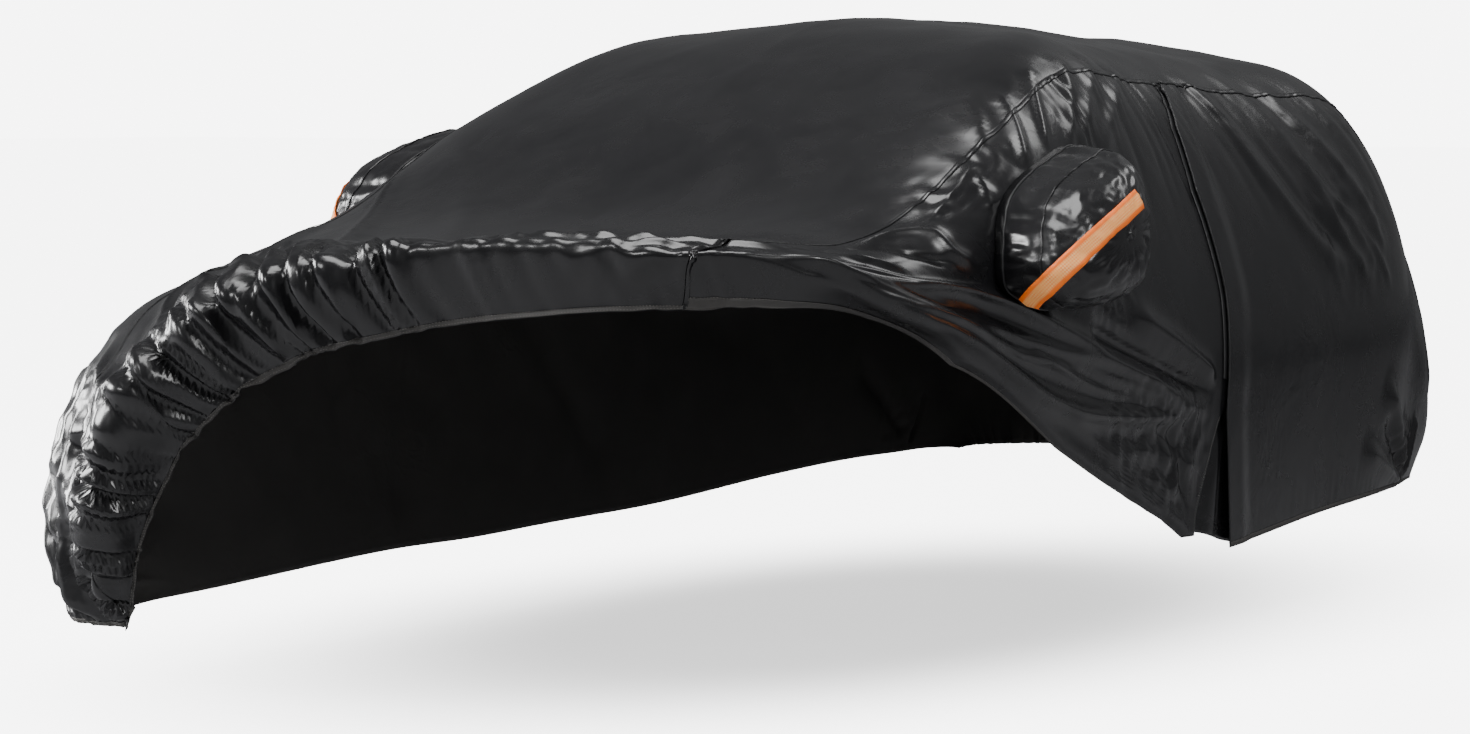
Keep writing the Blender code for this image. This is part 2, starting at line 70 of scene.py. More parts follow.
def lay_floor():
    """One flat square, FLOOR_REACH to each side."""
    mesh = bpy.data.meshes.new("floor")
    sides = ((-1, -1), (1, -1), (1, 1), (-1, 1))
    corners = [(x * FLOOR_REACH, y * FLOOR_REACH, FLOOR_HEIGHT) for x, y in sides]
    mesh.from_pydata(corners, [], [(0, 1, 2, 3)])
    floor = bpy.data.objects.new("floor", mesh)
    bpy.context.scene.collection.objects.link(floor)
    paint = bpy.data.materials.new("studio_floor")
    paint.use_nodes = True
    shader = paint.node_tree.nodes["Principled BSDF"]
    shader.inputs["Base Color"].default_value = (0.34, 0.34, 0.35, 1)
    shader.inputs["Roughness"].default_value = 0.7
    shader.inputs["Specular IOR Level"].default_value = 0.1
    # the floor glows for the camera alone, so that it is pale without lighting the dark cloth, and it glows
    # less in an ellipse under the cover: a painted pool of shade
    shader.inputs["Emission Color"].default_value = (1.0, 1.0, 1.0, 1)
    tree = paint.node_tree
    place = tree.nodes.new("ShaderNodeTexCoord")
    centred = tree.nodes.new("ShaderNodeVectorMath")
    centred.operation = "SUBTRACT"
    centred.inputs[1].default_value = SHADE_MIDDLE
    scaled = tree.nodes.new("ShaderNodeVectorMath")
    scaled.operation = "DIVIDE"
    scaled.inputs[1].default_value = SHADE_REACH
    away = tree.nodes.new("ShaderNodeVectorMath")
    away.operation = "LENGTH"
    open_share = tree.nodes.new("ShaderNodeMapRange")
    open_share.interpolation_type = "SMOOTHERSTEP"
    open_share.inputs["From Min"].default_value = SHADE_CORE
    open_share.inputs["From Max"].default_value = 1.0
    open_share.inputs["To Min"].default_value = FLOOR_GLOW * (1 - SHADE_DEPTH)
    open_share.inputs["To Max"].default_value = FLOOR_GLOW
    path = tree.nodes.new("ShaderNodeLightPath")
    glow = tree.nodes.new("ShaderNodeMath")
    glow.operation = "MULTIPLY"
    tree.links.new(place.outputs["Object"], centred.inputs[0])
    tree.links.new(centred.outputs[0], scaled.inputs[0])
    tree.links.new(scaled.outputs[0], away.inputs[0])
    tree.links.new(away.outputs["Value"], open_share.inputs["Value"])
    tree.links.new(path.outputs["Is Camera Ray"], glow.inputs[0])
    tree.links.new(open_share.outputs[0], glow.inputs[1])
    tree.links.new(glow.outputs[0], shader.inputs["Emission Strength"])
    mesh.materials.append(paint)


def pale_surround(light, seen):
    """The world shines with light, and shows as seen where the camera looks past the floor."""
    world = bpy.data.worlds.new("surround")
    bpy.context.scene.world = world
    world.use_nodes = True
    tree = world.node_tree
    tree.nodes.clear()
    parts = {name: tree.nodes.new(kind) for name, kind in
             (("path", "ShaderNodeLightPath"), ("lit", "ShaderNodeBackground"),
              ("shown", "ShaderNodeBackground"), ("mix", "ShaderNodeMixShader"),
              ("out", "ShaderNodeOutputWorld"))}
    parts["lit"].inputs["Color"].default_value = (0.97, 0.98, 1.0, 1)
    parts["lit"].inputs["Strength"].default_value = light
    parts["shown"].inputs["Color"].default_value = (1.0, 1.0, 1.0, 1)
    parts["shown"].inputs["Strength"].default_value = seen
    tree.links.new(parts["path"].outputs["Is Camera Ray"], parts["mix"].inputs[0])
    tree.links.new(parts["lit"].outputs[0], parts["mix"].inputs[1])
    tree.links.new(parts["shown"].outputs[0], parts["mix"].inputs[2])
    tree.links.new(parts["mix"].outputs[0], parts["out"].inputs["Surface"])


def soft_lamp(name, place, aim, size, power):
    """A square lamp of the given size at a place, turned to face its aim."""
    lamp_data = bpy.data.lights.new(name, "AREA")
    lamp_data.shape = "RECTANGLE"
    lamp_data.size, lamp_data.size_y = size
    lamp_data.energy = power
    lamp = bpy.data.objects.new(name, lamp_data)
    from_lamp = Vector(aim) - Vector(place)
    lamp.location = place
    lamp.rotation_euler = from_lamp.to_track_quat("-Z", "Y").to_euler()
    bpy.context.scene.collection.objects.link(lamp)


lay_floor()
pale_surround(light=0.17, seen=7.0)
soft_lamp("lamp_front_left", (-4.8, -5.8, 1.8), (-0.5, -2.0, -0.6), (2.6, 2.2), 620)
soft_lamp("lamp_left", (-6.5, -2.2, 0.3), (-0.5, -2.2, -0.8), (1.0, 2.6), 300)
soft_lamp("lamp_front", (0.5, -9.5, 4.2), (0.2, -1.6, -0.6), (2.4, 1.2), 170)
soft_lamp("lamp_overhead", (0.8, -1.6, 4.6), (0.0, -0.6, 0.0), (3.2, 4.0), 300)
soft_lamp("lamp_right", (7.0, -1.6, 2.8), (0.8, -0.2, -0.7), (1.4, 2.4), 170)
soft_lamp("lamp_high_rear", (2.0, 7.5, 6.0), (0.9, -0.6, -0.5), (4.0, 2.4), 95)

# ---------------------------------------------------------------------------------------------------------
# Cloth finishes: polyester with a smooth, glossy charcoal coating outside, its fine creases catching the
# light, and a dull backing inside. The mirror pockets are of the same cloth.
# ---------------------------------------------------------------------------------------------------------
def joined(tree, kind, links=(), **values):
    """A new node in a tree: its settings and plain socket values, and links of (socket, where from)."""
    node = tree.nodes.new(kind)
    for name, value in values.items():
        if name in node.inputs:
            node.inputs[name].default_value = value
        elif name.replace("_", " ") in node.inputs:
            node.inputs[name.replace("_", " ")].default_value = value
        else:
            setattr(node, name, value)
    for socket, source in links:
        tree.links.new(source, node.inputs[socket])
    return node


def make_crease_group():
    """Shader group of the coating's marks, from Object coordinates.

    Creases is a height: two sizes of cell edges, bent by a slow noise, and a fine grain. Mottle is a slow
    noise from 0 to 1, for the coating's uneven gloss and shade.
    """
    group = bpy.data.node_groups.new("coating_creases", "ShaderNodeTree")
    group.interface.new_socket("Crease Size", in_out="INPUT", socket_type="NodeSocketFloat")
    group.interface.new_socket("Grain", in_out="INPUT", socket_type="NodeSocketFloat")
    group.interface.new_socket("Creases", in_out="OUTPUT", socket_type="NodeSocketFloat")
    group.interface.new_socket("Mottle", in_out="OUTPUT", socket_type="NodeSocketFloat")
    given = group.nodes.new("NodeGroupInput")
    made = group.nodes.new("NodeGroupOutput")
    place = joined(group, "ShaderNodeTexCoord").outputs["Object"]
    bend = joined(group, "ShaderNodeTexNoise", [("Vector", place)], Scale=3.0, Detail=3.0, Roughness=0.6)
    bent = joined(group, "ShaderNodeVectorMath", [(0, bend.outputs["Color"])], operation="SCALE", Scale=0.30)
    moved = joined(group, "ShaderNodeVectorMath", [(0, place), (1, bent.outputs[0])], operation="ADD")
    height = None
    for size, depth in ((1.0, 1.0), (2.9, 0.45)):
        pace = joined(group, "ShaderNodeMath", [(0, given.outputs["Crease Size"])], operation="MULTIPLY")
        pace.inputs[1].default_value = size
        cells = joined(group, "ShaderNodeTexVoronoi",
                       [("Vector", moved.outputs[0]), ("Scale", pace.outputs[0])], feature="DISTANCE_TO_EDGE")
        edge = joined(group, "ShaderNodeMapRange", [("Value", cells.outputs["Distance"])],
                      interpolation_type="SMOOTHSTEP")
        edge.inputs["From Max"].default_value = 0.34
        edge.inputs["To Min"].default_value = depth
        edge.inputs["To Max"].default_value = 0.0
        if height is None:
            height = edge.outputs[0]
        else:
            height = joined(group, "ShaderNodeMath", [(0, height), (1, edge.outputs[0])],
                            operation="ADD").outputs[0]
    patches = joined(group, "ShaderNodeTexNoise", [("Vector", place)], Scale=2.3, Detail=2.0)
    here = joined(group, "ShaderNodeMapRange", [("Value", patches.outputs["Fac"])])
    here.inputs["From Min"].default_value = 0.42
    here.inputs["From Max"].default_value = 0.62
    height = joined(group, "ShaderNodeMath", [(0, height), (1, here.outputs[0])],
                    operation="MULTIPLY").outputs[0]
    grain = joined(group, "ShaderNodeTexNoise", [("Vector", place)], Scale=55.0, Detail=4.0, Roughness=0.6)
    rough = joined(group, "ShaderNodeMath", [(0, grain.outputs["Fac"]), (1, given.outputs["Grain"])],
                   operation="MULTIPLY")
    total = joined(group, "ShaderNodeMath", [(0, height), (1, rough.outputs[0])], operation="ADD")
    group.links.new(total.outputs[0], made.inputs["Creases"])
    mottle = joined(group, "ShaderNodeTexNoise", [("Vector", moved.outputs[0])],
                    Scale=5.0, Detail=5.0, Roughness=0.6)
    group.links.new(mottle.outputs["Fac"], made.inputs["Mottle"])
    return group


coating_creases = make_crease_group()


def cloth_finish(name, dark, light, roughness, crease_size, crease_depth, gloss=0.5, grain=0.25):
    """A cloth: its colour runs from dark to light and its roughness between two ends with the mottle, and
    its fine creases are a bump."""
    finish = bpy.data.materials.new(name)
    finish.use_nodes = True
    tree = finish.node_tree
    shader = tree.nodes["Principled BSDF"]
    marks = joined(tree, "ShaderNodeGroup", node_tree=coating_creases)
    marks.inputs["Crease Size"].default_value = crease_size
    marks.inputs["Grain"].default_value = grain
    shade = joined(tree, "ShaderNodeMix", data_type="RGBA")
    tree.links.new(marks.outputs["Mottle"], shade.inputs["Factor"])
    shade.inputs[6].default_value = (*dark, 1)
    shade.inputs[7].default_value = (*light, 1)
    tree.links.new(shade.outputs[2], shader.inputs["Base Color"])
    matt = joined(tree, "ShaderNodeMapRange", [("Value", marks.outputs["Mottle"])])
    matt.inputs["From Min"].default_value = 0.3
    matt.inputs["From Max"].default_value = 0.7
    matt.inputs["To Min"].default_value = roughness[0]
    matt.inputs["To Max"].default_value = roughness[1]
    tree.links.new(matt.outputs[0], shader.inputs["Roughness"])
    bump = joined(tree, "ShaderNodeBump", [("Height", marks.outputs["Creases"])])
    bump.inputs["Strength"].default_value = 1.0
    bump.inputs["Distance"].default_value = crease_depth
    tree.links.new(bump.outputs[0], shader.inputs["Normal"])
    shader.inputs["Specular IOR Level"].default_value = gloss
    return finish


coated = cloth_finish("coated_cloth_outside", (0.0050, 0.0050, 0.0058), (0.0105, 0.0103, 0.0113),
                      (0.20, 0.32), 9.0, 0.0004, gloss=0.65)
backing = cloth_finish("coated_cloth_backing", (0.045, 0.043, 0.041), (0.080, 0.076, 0.072),
                       (0.70, 0.85), 9.0, 0.0008)
hem_finish = cloth_finish("hem_tape", (0.030, 0.029, 0.028), (0.070, 0.066, 0.062),
                          (0.45, 0.70), 60.0, 0.0010,
                          grain=0.9)
binding_finish = cloth_finish("seam_binding", (0.010, 0.010, 0.011), (0.020, 0.020, 0.021),
                              (0.40, 0.55), 20.0, 0.0008)

# ---------------------------------------------------------------------------------------------------------
# Top panel: bonnet, screen, roof and tail in one long piece of coated cloth, sewn to the side panels along
# the rails. Its front is drawn back in a thick roll, and its elastic hem gathers in pleats on the right.
# ---------------------------------------------------------------------------------------------------------
RAIL_ACROSS = 0.42
BELT_ACROSS = 0.68
RAIL_TURN = 0.13
BELT_TURN = 0.13
CROWN = 0.028
METRES_ACROSS = 1.8
METRES_ALONG = 5.6
HOLD_DISTANCE = 2.45
SECTIONS = (
    # along, centre_y, centre_z, rail_x, rail_y, rail_z, belt_x, belt_y, belt_z, hem_x, hem_y, hem_z
    # front hem, bumper, nose, bonnet lip, bonnet, foot of the screen
    (0.000, 0.02, 0.16, 0.62, 0.05, 0.15, 0.85, 0.14, 0.14, 0.90, 0.28, 0.13),
    (0.050, -0.03, 0.42, 0.67, 0.00, 0.42, 0.975, 0.16, 0.41, 0.94, 0.50, 0.14),
    (0.095, 0.00, 0.68, 0.70, 0.05, 0.68, 0.98, 0.25, 0.68, 0.94, 0.75, 0.15),
    (0.125, 0.10, 0.83, 0.73, 0.16, 0.825, 0.96, 0.36, 0.785, 0.94, 0.95, 0.16),
    (0.210, 0.60, 0.965, 0.81, 0.60, 0.99, 0.98, 0.74, 0.90, 0.935, 1.12, 0.17),
    (0.295, 1.10, 1.07, 0.89, 1.10, 1.11, 1.00, 1.19, 0.96, 0.94, 1.42, 0.18),
    # screen, roof, spoiler
    (0.380, 1.55, 1.35, 0.89, 1.58, 1.345, 0.98, 1.64, 0.94, 0.94, 1.75, 0.18),
    (0.460, 2.00, 1.545, 0.80, 2.00, 1.515, 0.96, 2.06, 0.92, 0.94, 2.10, 0.19),
    (0.560, 2.60, 1.575, 0.67, 2.60, 1.495, 0.94, 2.60, 0.92, 0.94, 2.57, 0.20),
    (0.680, 3.30, 1.545, 0.60, 3.30, 1.455, 0.93, 3.25, 0.92, 0.92, 3.15, 0.24),
    (0.790, 3.985, 1.445, 0.59, 3.98, 1.39, 0.90, 3.80, 0.90, 0.90, 3.58, 0.26),
    # tailgate, rear bumper, rear hem
    (0.845, 4.17, 1.18, 0.61, 4.105, 1.17, 0.86, 3.94, 0.80, 0.87, 3.76, 0.265),
    (0.900, 4.28, 0.87, 0.63, 4.22, 0.87, 0.85, 4.04, 0.63, 0.845, 3.87, 0.27),
    (0.950, 4.33, 0.55, 0.62, 4.27, 0.55, 0.82, 4.10, 0.44, 0.82, 3.95, 0.27),
    (1.000, 4.25, 0.29, 0.58, 4.19, 0.28, 0.75, 4.07, 0.275, 0.78, 4.00, 0.27),
)
FRONT_HEM = ((-1.00, 0.000), (-0.42, 0.000), (-0.35, 0.031), (-0.25, 0.073), (-0.15, 0.098), (-0.05, 0.113),
             (0.05, 0.122), (0.15, 0.133), (0.25, 0.143), (0.35, 0.155), (0.45, 0.170), (0.55, 0.190),
             (0.65, 0.228), (0.75, 0.276), (0.85, 0.373), (0.95, 0.490), (0.975, 0.512))
ROLL = (
    # across, crest_back, crest_height, slope_back
    (-1.00, 0.10, 0.000, 0.30),
    (-0.50, 0.12, 0.010, 0.30),
    (-0.42, 0.14, 0.040, 0.34),
    (-0.25, 0.17, 0.095, 0.50),
    (0.00, 0.13, 0.125, 0.60),
    (0.30, 0.11, 0.120, 0.60),
    (0.50, 0.10, 0.095, 0.50),
    (0.62, 0.09, 0.050, 0.38),
    (0.75, 0.08, 0.018, 0.25),
    (1.00, 0.06, 0.008, 0.15),
)
ROLL_TUCK = 0.75
MIRROR_PULL = 0.035
MIRROR_PULL_REACH = 0.30
POCKETS = {
    # across, along, half_across, half_along, depth
    "left": (0.598, 0.3785, 0.096, 0.0465, 0.245),
    "right": (-0.568, 0.379, 0.095, 0.037, 0.203),
}


def through_rows(table, where):
    """Read a table, whose first column rises, on a smooth curve through its rows and straight past them."""
    table = np.array(table, float)
    knots, values = table[:, 0], table[:, 1:]
    slopes = np.gradient(values, knots, axis=0)
    asked = np.asarray(where, float)
    where = np.clip(asked, knots[0], knots[-1])
    row = np.clip(np.searchsorted(knots, where, side="right") - 1, 0, len(knots) - 2)
    span = (knots[row + 1] - knots[row])[..., None]
    t = (where - knots[row])[..., None] / span
    curve = ((1 + 2 * t) * (1 - t) ** 2 * values[row] + t * (1 - t) ** 2 * span * slopes[row]
             + t * t * (3 - 2 * t) * values[row + 1] + t * t * (t - 1) * span * slopes[row + 1])
    end_slope = np.where((asked < knots[0])[..., None], slopes[0], slopes[-1])
    return curve + (asked - where)[..., None] * end_slope


def soft_ramp(distance, turn):
    """Zero before a corner and rising one to one after it, with the corner rounded over +- turn."""
    inside = np.clip(turn - np.abs(distance), 0, None)
    return np.clip(distance, 0, None) + inside ** 2 / (4 * turn)


def smooth_step(value):
    """Zero below 0, one above 1, and a smooth rise between them."""
    value = np.clip(value, 0, 1)
    return value * value * (3 - 2 * value)


def on_line(line, across):
    """Where a cut line lies along the cover at each place across, straight from row to row."""
    line = np.array(line)
    return np.interp(across, line[:, 0], line[:, 1])


def fitted_form(across, along):
    """The smooth form at across (-1 right hem .. 1 left hem) and along (0 front .. 1 rear), heights from the
    floor: a line from the centre to the rail, belt line and hem, its corners rounded by soft ramps."""
    cols = through_rows(SECTIONS, along)
    centre = np.stack([np.zeros_like(across), cols[..., 0], cols[..., 1]], -1)
    rail, belt, hem = cols[..., 2:5], cols[..., 5:8], cols[..., 8:11]
    width = np.abs(across)[..., None]
    first = (rail - centre) / RAIL_ACROSS
    second = (belt - rail) / (BELT_ACROSS - RAIL_ACROSS)
    third = (hem - belt) / (1 - BELT_ACROSS)
    point = centre + first * width
    point = point + (second - first) * soft_ramp(width - RAIL_ACROSS, RAIL_TURN)
    point = point + (third - second) * soft_ramp(width - BELT_ACROSS, BELT_TURN)
    point[..., 2] += CROWN * np.clip(1 - (width[..., 0] / RAIL_ACROSS) ** 2, 0, None)
    point[..., 0] *= np.sign(across)
    return point


def outward(form, across, along, step=0.003):
    """The unit normal of a surface function of (across, along), away from the car, by differences."""
    side = form(across + step, along) - form(across - step, along)
    back = form(across, along + step) - form(across, along - step)
    normal = np.cross(side, back)
    return normal / np.linalg.norm(normal, axis=-1, keepdims=True)


def drape(across, along):
    """The cover without its folds: the fitted form, raised by the roll behind the drawn back hem and drawn
    out by the two mirrors. The roll climbs to its crest and falls away behind it, its hem tucked under."""
    crest_back, crest_height, slope_back = np.moveaxis(through_rows(ROLL, across), -1, 0)
    distance = (along - on_line(FRONT_HEM, across)) * METRES_ALONG
    climb = smooth_step(distance / crest_back)
    height = crest_height * climb * (1 - smooth_step((distance - crest_back) / slope_back))
    for pocket in POCKETS.values():
        east = (across - pocket[0]) * METRES_ACROSS
        north = (along - pocket[1]) * METRES_ALONG
        height = height + MIRROR_PULL * np.exp(-(east ** 2 + north ** 2) / MIRROR_PULL_REACH ** 2)
    point = fitted_form(across, along) + outward(fitted_form, across, along) * height[..., None]
    point[..., 1] += ROLL_TUCK * crest_height * (1 - climb) - HOLD_DISTANCE
    point[..., 2] += FLOOR_HEIGHT
    return point


# Folds, each a row of places (across, along) it runs through, then its half width at its start and at its
# end, its height (minus is a trough) and how sharp its crest is (2 is soft, 1 is a crease).
FOLDS = (
    # fan of pulled folds from the roll, over the fender, to the top of the door opening
    (((0.43, 0.196), (0.53, 0.212), (0.60, 0.242), (0.66, 0.306), (0.72, 0.372), (0.78, 0.460),
      (0.832, 0.548)),
     0.016, 0.015, 0.020, 1.30),
    (((0.47, 0.195), (0.59, 0.230), (0.69, 0.282), (0.735, 0.352), (0.77, 0.440), (0.835, 0.546)),
     0.015, 0.012, 0.019, 1.20),
    (((0.52, 0.204), (0.64, 0.245), (0.735, 0.318), (0.768, 0.400), (0.80, 0.470), (0.838, 0.546)),
     0.015, 0.011, 0.022, 1.20),
    (((0.55, 0.208), (0.67, 0.253), (0.772, 0.328), (0.812, 0.392), (0.826, 0.455), (0.840, 0.540)),
     0.016, 0.016, 0.031, 1.40),
    (((0.50, 0.215), (0.61, 0.262), (0.68, 0.330), (0.735, 0.400), (0.775, 0.480), (0.83, 0.550)),
     0.011, 0.008, 0.012, 1.15),
    (((0.56, 0.222), (0.66, 0.268), (0.735, 0.340), (0.785, 0.405), (0.815, 0.480), (0.840, 0.545)),
     0.010, 0.008, 0.012, 1.15),
    (((0.705, 0.455), (0.750, 0.505), (0.800, 0.550)), 0.025, 0.013, 0.022, 1.30),
    (((0.72, 0.410), (0.755, 0.462), (0.815, 0.548)), 0.020, 0.013, -0.031, 1.50),
    (((0.62, 0.250), (0.70, 0.300), (0.75, 0.360), (0.785, 0.440)), 0.013, 0.010, -0.012, 1.30),
    # the flat corner of the front side cloth
    (((0.80, 0.370), (0.88, 0.450), (0.93, 0.520)), 0.020, 0.014, 0.006, 1.2),
    (((0.86, 0.420), (0.87, 0.480), (0.90, 0.535)), 0.024, 0.012, 0.008, 1.2),
    (((0.93, 0.480), (0.90, 0.510), (0.86, 0.535)), 0.016, 0.012, 0.006, 1.2),
    (((0.83, 0.460), (0.86, 0.500), (0.95, 0.520)), 0.020, 0.012, -0.006, 1.3),
    # the slack loop in front of the left mirror, where the roll runs out
    (((0.430, 0.262), (0.455, 0.290), (0.500, 0.302), (0.575, 0.304), (0.630, 0.318)),
     0.022, 0.020, 0.016, 1.5),
    (((0.440, 0.252), (0.480, 0.276), (0.540, 0.284), (0.610, 0.300)), 0.018, 0.016, -0.012, 1.6),
    # drawn from the screen pillar and the roof rail to the left mirror
    (((0.475, 0.305), (0.455, 0.332), (0.435, 0.356)), 0.010, 0.010, 0.007, 1.1),
    (((0.450, 0.350), (0.490, 0.345), (0.530, 0.340)), 0.012, 0.012, 0.008, 1.2),
    (((0.362, 0.408), (0.405, 0.402), (0.455, 0.388), (0.500, 0.375)), 0.020, 0.016, 0.014, 1.4),
    (((0.330, 0.395), (0.375, 0.385), (0.430, 0.365)), 0.024, 0.016, 0.010, 1.4),
    (((0.372, 0.448), (0.430, 0.425), (0.495, 0.400)), 0.014, 0.012, 0.011, 1.3),
    (((0.300, 0.385), (0.350, 0.378), (0.410, 0.370)), 0.030, 0.020, 0.006, 1.5),
    (((0.380, 0.480), (0.440, 0.462), (0.520, 0.425)), 0.022, 0.018, 0.010, 1.5),
    (((0.365, 0.520), (0.440, 0.492), (0.535, 0.435)), 0.026, 0.020, 0.008, 1.5),
    (((0.370, 0.545), (0.450, 0.520), (0.560, 0.450)), 0.024, 0.020, 0.007, 1.5),
    # down the tail quarter
    (((0.36, 0.615), (0.47, 0.628), (0.56, 0.645), (0.64, 0.675), (0.70, 0.715)), 0.026, 0.030, 0.012, 1.4),
    (((0.34, 0.660), (0.45, 0.680), (0.54, 0.695), (0.65, 0.712), (0.72, 0.740)), 0.024, 0.030, 0.013, 1.4),
    (((0.38, 0.700), (0.47, 0.712), (0.56, 0.735), (0.68, 0.762)), 0.022, 0.026, 0.010, 1.4),
    (((0.40, 0.640), (0.50, 0.655), (0.60, 0.680), (0.68, 0.725)), 0.016, 0.020, -0.008, 1.4),
    (((0.52, 0.690), (0.60, 0.715), (0.70, 0.745)), 0.012, 0.014, 0.006, 1.2),
    (((0.58, 0.700), (0.64, 0.735), (0.72, 0.765)), 0.012, 0.014, 0.006, 1.2),
    # drawn in at the rear corner of the hem
    (((0.845, 0.763), (0.91, 0.815), (0.975, 0.860)), 0.034, 0.016, 0.022, 1.5),
    (((0.930, 0.740), (0.965, 0.795), (0.995, 0.850)), 0.026, 0.014, 0.016, 1.5),
    (((0.890, 0.775), (0.945, 0.825), (0.99, 0.862)), 0.020, 0.012, -0.018, 1.6),
    (((0.850, 0.880), (0.92, 0.880), (0.99, 0.866)), 0.026, 0.014, 0.014, 1.5),
    (((-0.845, 0.763), (-0.91, 0.815), (-0.975, 0.860)), 0.034, 0.016, 0.020, 1.5),
    (((-0.850, 0.880), (-0.92, 0.880), (-0.99, 0.866)), 0.026, 0.014, 0.014, 1.5),
    # long slack folds over the bonnet and the screen, from the roll up to the right mirror
    (((-0.10, 0.135), (-0.20, 0.185), (-0.270, 0.245), (-0.33, 0.290), (-0.43, 0.345)),
     0.030, 0.022, 0.014, 1.4),
    (((-0.20, 0.125), (-0.28, 0.165), (-0.35, 0.215), (-0.44, 0.290)), 0.030, 0.022, 0.015, 1.4),
    (((0.05, 0.175), (-0.10, 0.235), (-0.21, 0.300), (-0.36, 0.350)), 0.034, 0.026, 0.009, 1.5),
    (((0.20, 0.215), (0.02, 0.270), (-0.15, 0.330), (-0.33, 0.375)), 0.040, 0.030, 0.007, 1.6),
    (((-0.30, 0.120), (-0.37, 0.155), (-0.45, 0.215)), 0.026, 0.020, 0.014, 1.4),
    # sharp ridges and hollows along the roll's crest
    (((0.00, 0.140), (0.10, 0.149), (0.22, 0.161), (0.33, 0.174), (0.43, 0.199)), 0.012, 0.014, 0.015, 1.2),
    (((0.16, 0.166), (0.27, 0.178), (0.38, 0.196), (0.50, 0.222)), 0.014, 0.014, 0.015, 1.3),
    (((0.20, 0.180), (0.33, 0.196), (0.45, 0.222), (0.54, 0.250)), 0.016, 0.014, -0.018, 1.5),
    (((0.30, 0.195), (0.41, 0.214), (0.52, 0.242), (0.60, 0.270)), 0.012, 0.012, 0.015, 1.2),
    (((-0.06, 0.150), (0.04, 0.160), (0.16, 0.176)), 0.016, 0.016, -0.012, 1.5),
    (((0.34, 0.168), (0.42, 0.182), (0.50, 0.200), (0.58, 0.224)), 0.010, 0.012, 0.012, 1.2),
    # the slack right front corner: a wide faceted hollow and long folds down to the hem
    (((-0.505, 0.118), (-0.40, 0.100), (-0.290, 0.092), (-0.220, 0.106)), 0.036, 0.024, 0.024, 1.3),
    (((-0.290, 0.092), (-0.310, 0.070), (-0.350, 0.048), (-0.41, 0.010)), 0.026, 0.018, 0.020, 1.4),
    (((-0.38, 0.080), (-0.42, 0.050), (-0.46, 0.004)), 0.030, 0.018, -0.024, 1.6),
    (((-0.46, 0.094), (-0.50, 0.055), (-0.51, 0.004)), 0.030, 0.020, 0.024, 1.4),
    (((-0.55, 0.100), (-0.57, 0.050), (-0.57, 0.004)), 0.034, 0.020, -0.016, 1.6),
    (((-0.62, 0.120), (-0.64, 0.060), (-0.63, 0.004)), 0.040, 0.022, 0.024, 1.5),
    (((-0.70, 0.135), (-0.76, 0.070), (-0.76, 0.004)), 0.044, 0.026, 0.026, 1.5),
    (((-0.84, 0.110), (-0.88, 0.060), (-0.88, 0.004)), 0.040, 0.024, 0.020, 1.5),
    # behind the right mirror and down the right side
    (((-0.64, 0.405), (-0.78, 0.460), (-0.97, 0.520)), 0.060, 0.040, 0.014, 1.6),
    (((-0.64, 0.425), (-0.72, 0.530), (-0.80, 0.650)), 0.050, 0.050, 0.010, 1.6),
    (((-0.62, 0.350), (-0.72, 0.270), (-0.80, 0.180)), 0.050, 0.040, 0.012, 1.6),
    (((-0.66, 0.370), (-0.82, 0.340), (-0.98, 0.300)), 0.040, 0.030, 0.012, 1.5),
    (((-0.38, 0.615), (-0.50, 0.632), (-0.64, 0.675)), 0.030, 0.034, 0.010, 1.5),
    (((-0.36, 0.680), (-0.50, 0.700), (-0.66, 0.735)), 0.028, 0.032, 0.011, 1.5),
    (((-0.48, 0.560), (-0.66, 0.590), (-0.86, 0.640)), 0.050, 0.050, 0.008, 1.7),
    # over the roof and down the tailgate
    (((0.34, 0.470), (0.25, 0.520), (0.10, 0.560)), 0.060, 0.060, 0.004, 1.8),
    (((-0.34, 0.460), (-0.20, 0.520), (-0.05, 0.600)), 0.060, 0.060, 0.004, 1.8),
    (((0.30, 0.800), (0.22, 0.870), (0.26, 0.960)), 0.040, 0.030, 0.010, 1.6),
    (((-0.28, 0.800), (-0.16, 0.870), (-0.20, 0.960)), 0.040, 0.030, 0.010, 1.6),
    (((0.05, 0.810), (-0.02, 0.880), (0.04, 0.970)), 0.050, 0.036, 0.008, 1.7),
    (((0.45, 0.830), (0.56, 0.880), (0.68, 0.940)), 0.040, 0.034, 0.012, 1.6),
    (((-0.45, 0.830), (-0.56, 0.880), (-0.68, 0.940)), 0.040, 0.034, 0.012, 1.6),
)
FOLD_STEPS = 18


def beside_line(places, east, north):
    """How far from a smooth line through some places each point lies, and what share along it is nearest."""
    places = np.array(places) * (METRES_ACROSS, METRES_ALONG)
    share = np.linspace(0, 1, len(places))
    line = through_rows(np.column_stack([share, places]), np.linspace(0, 1, FOLD_STEPS + 1))
    nearest = np.full(east.shape, np.inf)
    reached = np.zeros(east.shape)
    for number, (start, end) in enumerate(zip(line[:-1], line[1:])):
        run = end - start
        part = np.clip(((east - start[0]) * run[0] + (north - start[1]) * run[1]) / (run @ run), 0, 1)
        distance = np.hypot(east - start[0] - part * run[0], north - start[1] - part * run[1])
        closer = distance < nearest
        nearest = np.where(closer, distance, nearest)
        reached = np.where(closer, (number + part) / FOLD_STEPS, reached)
    return nearest, reached


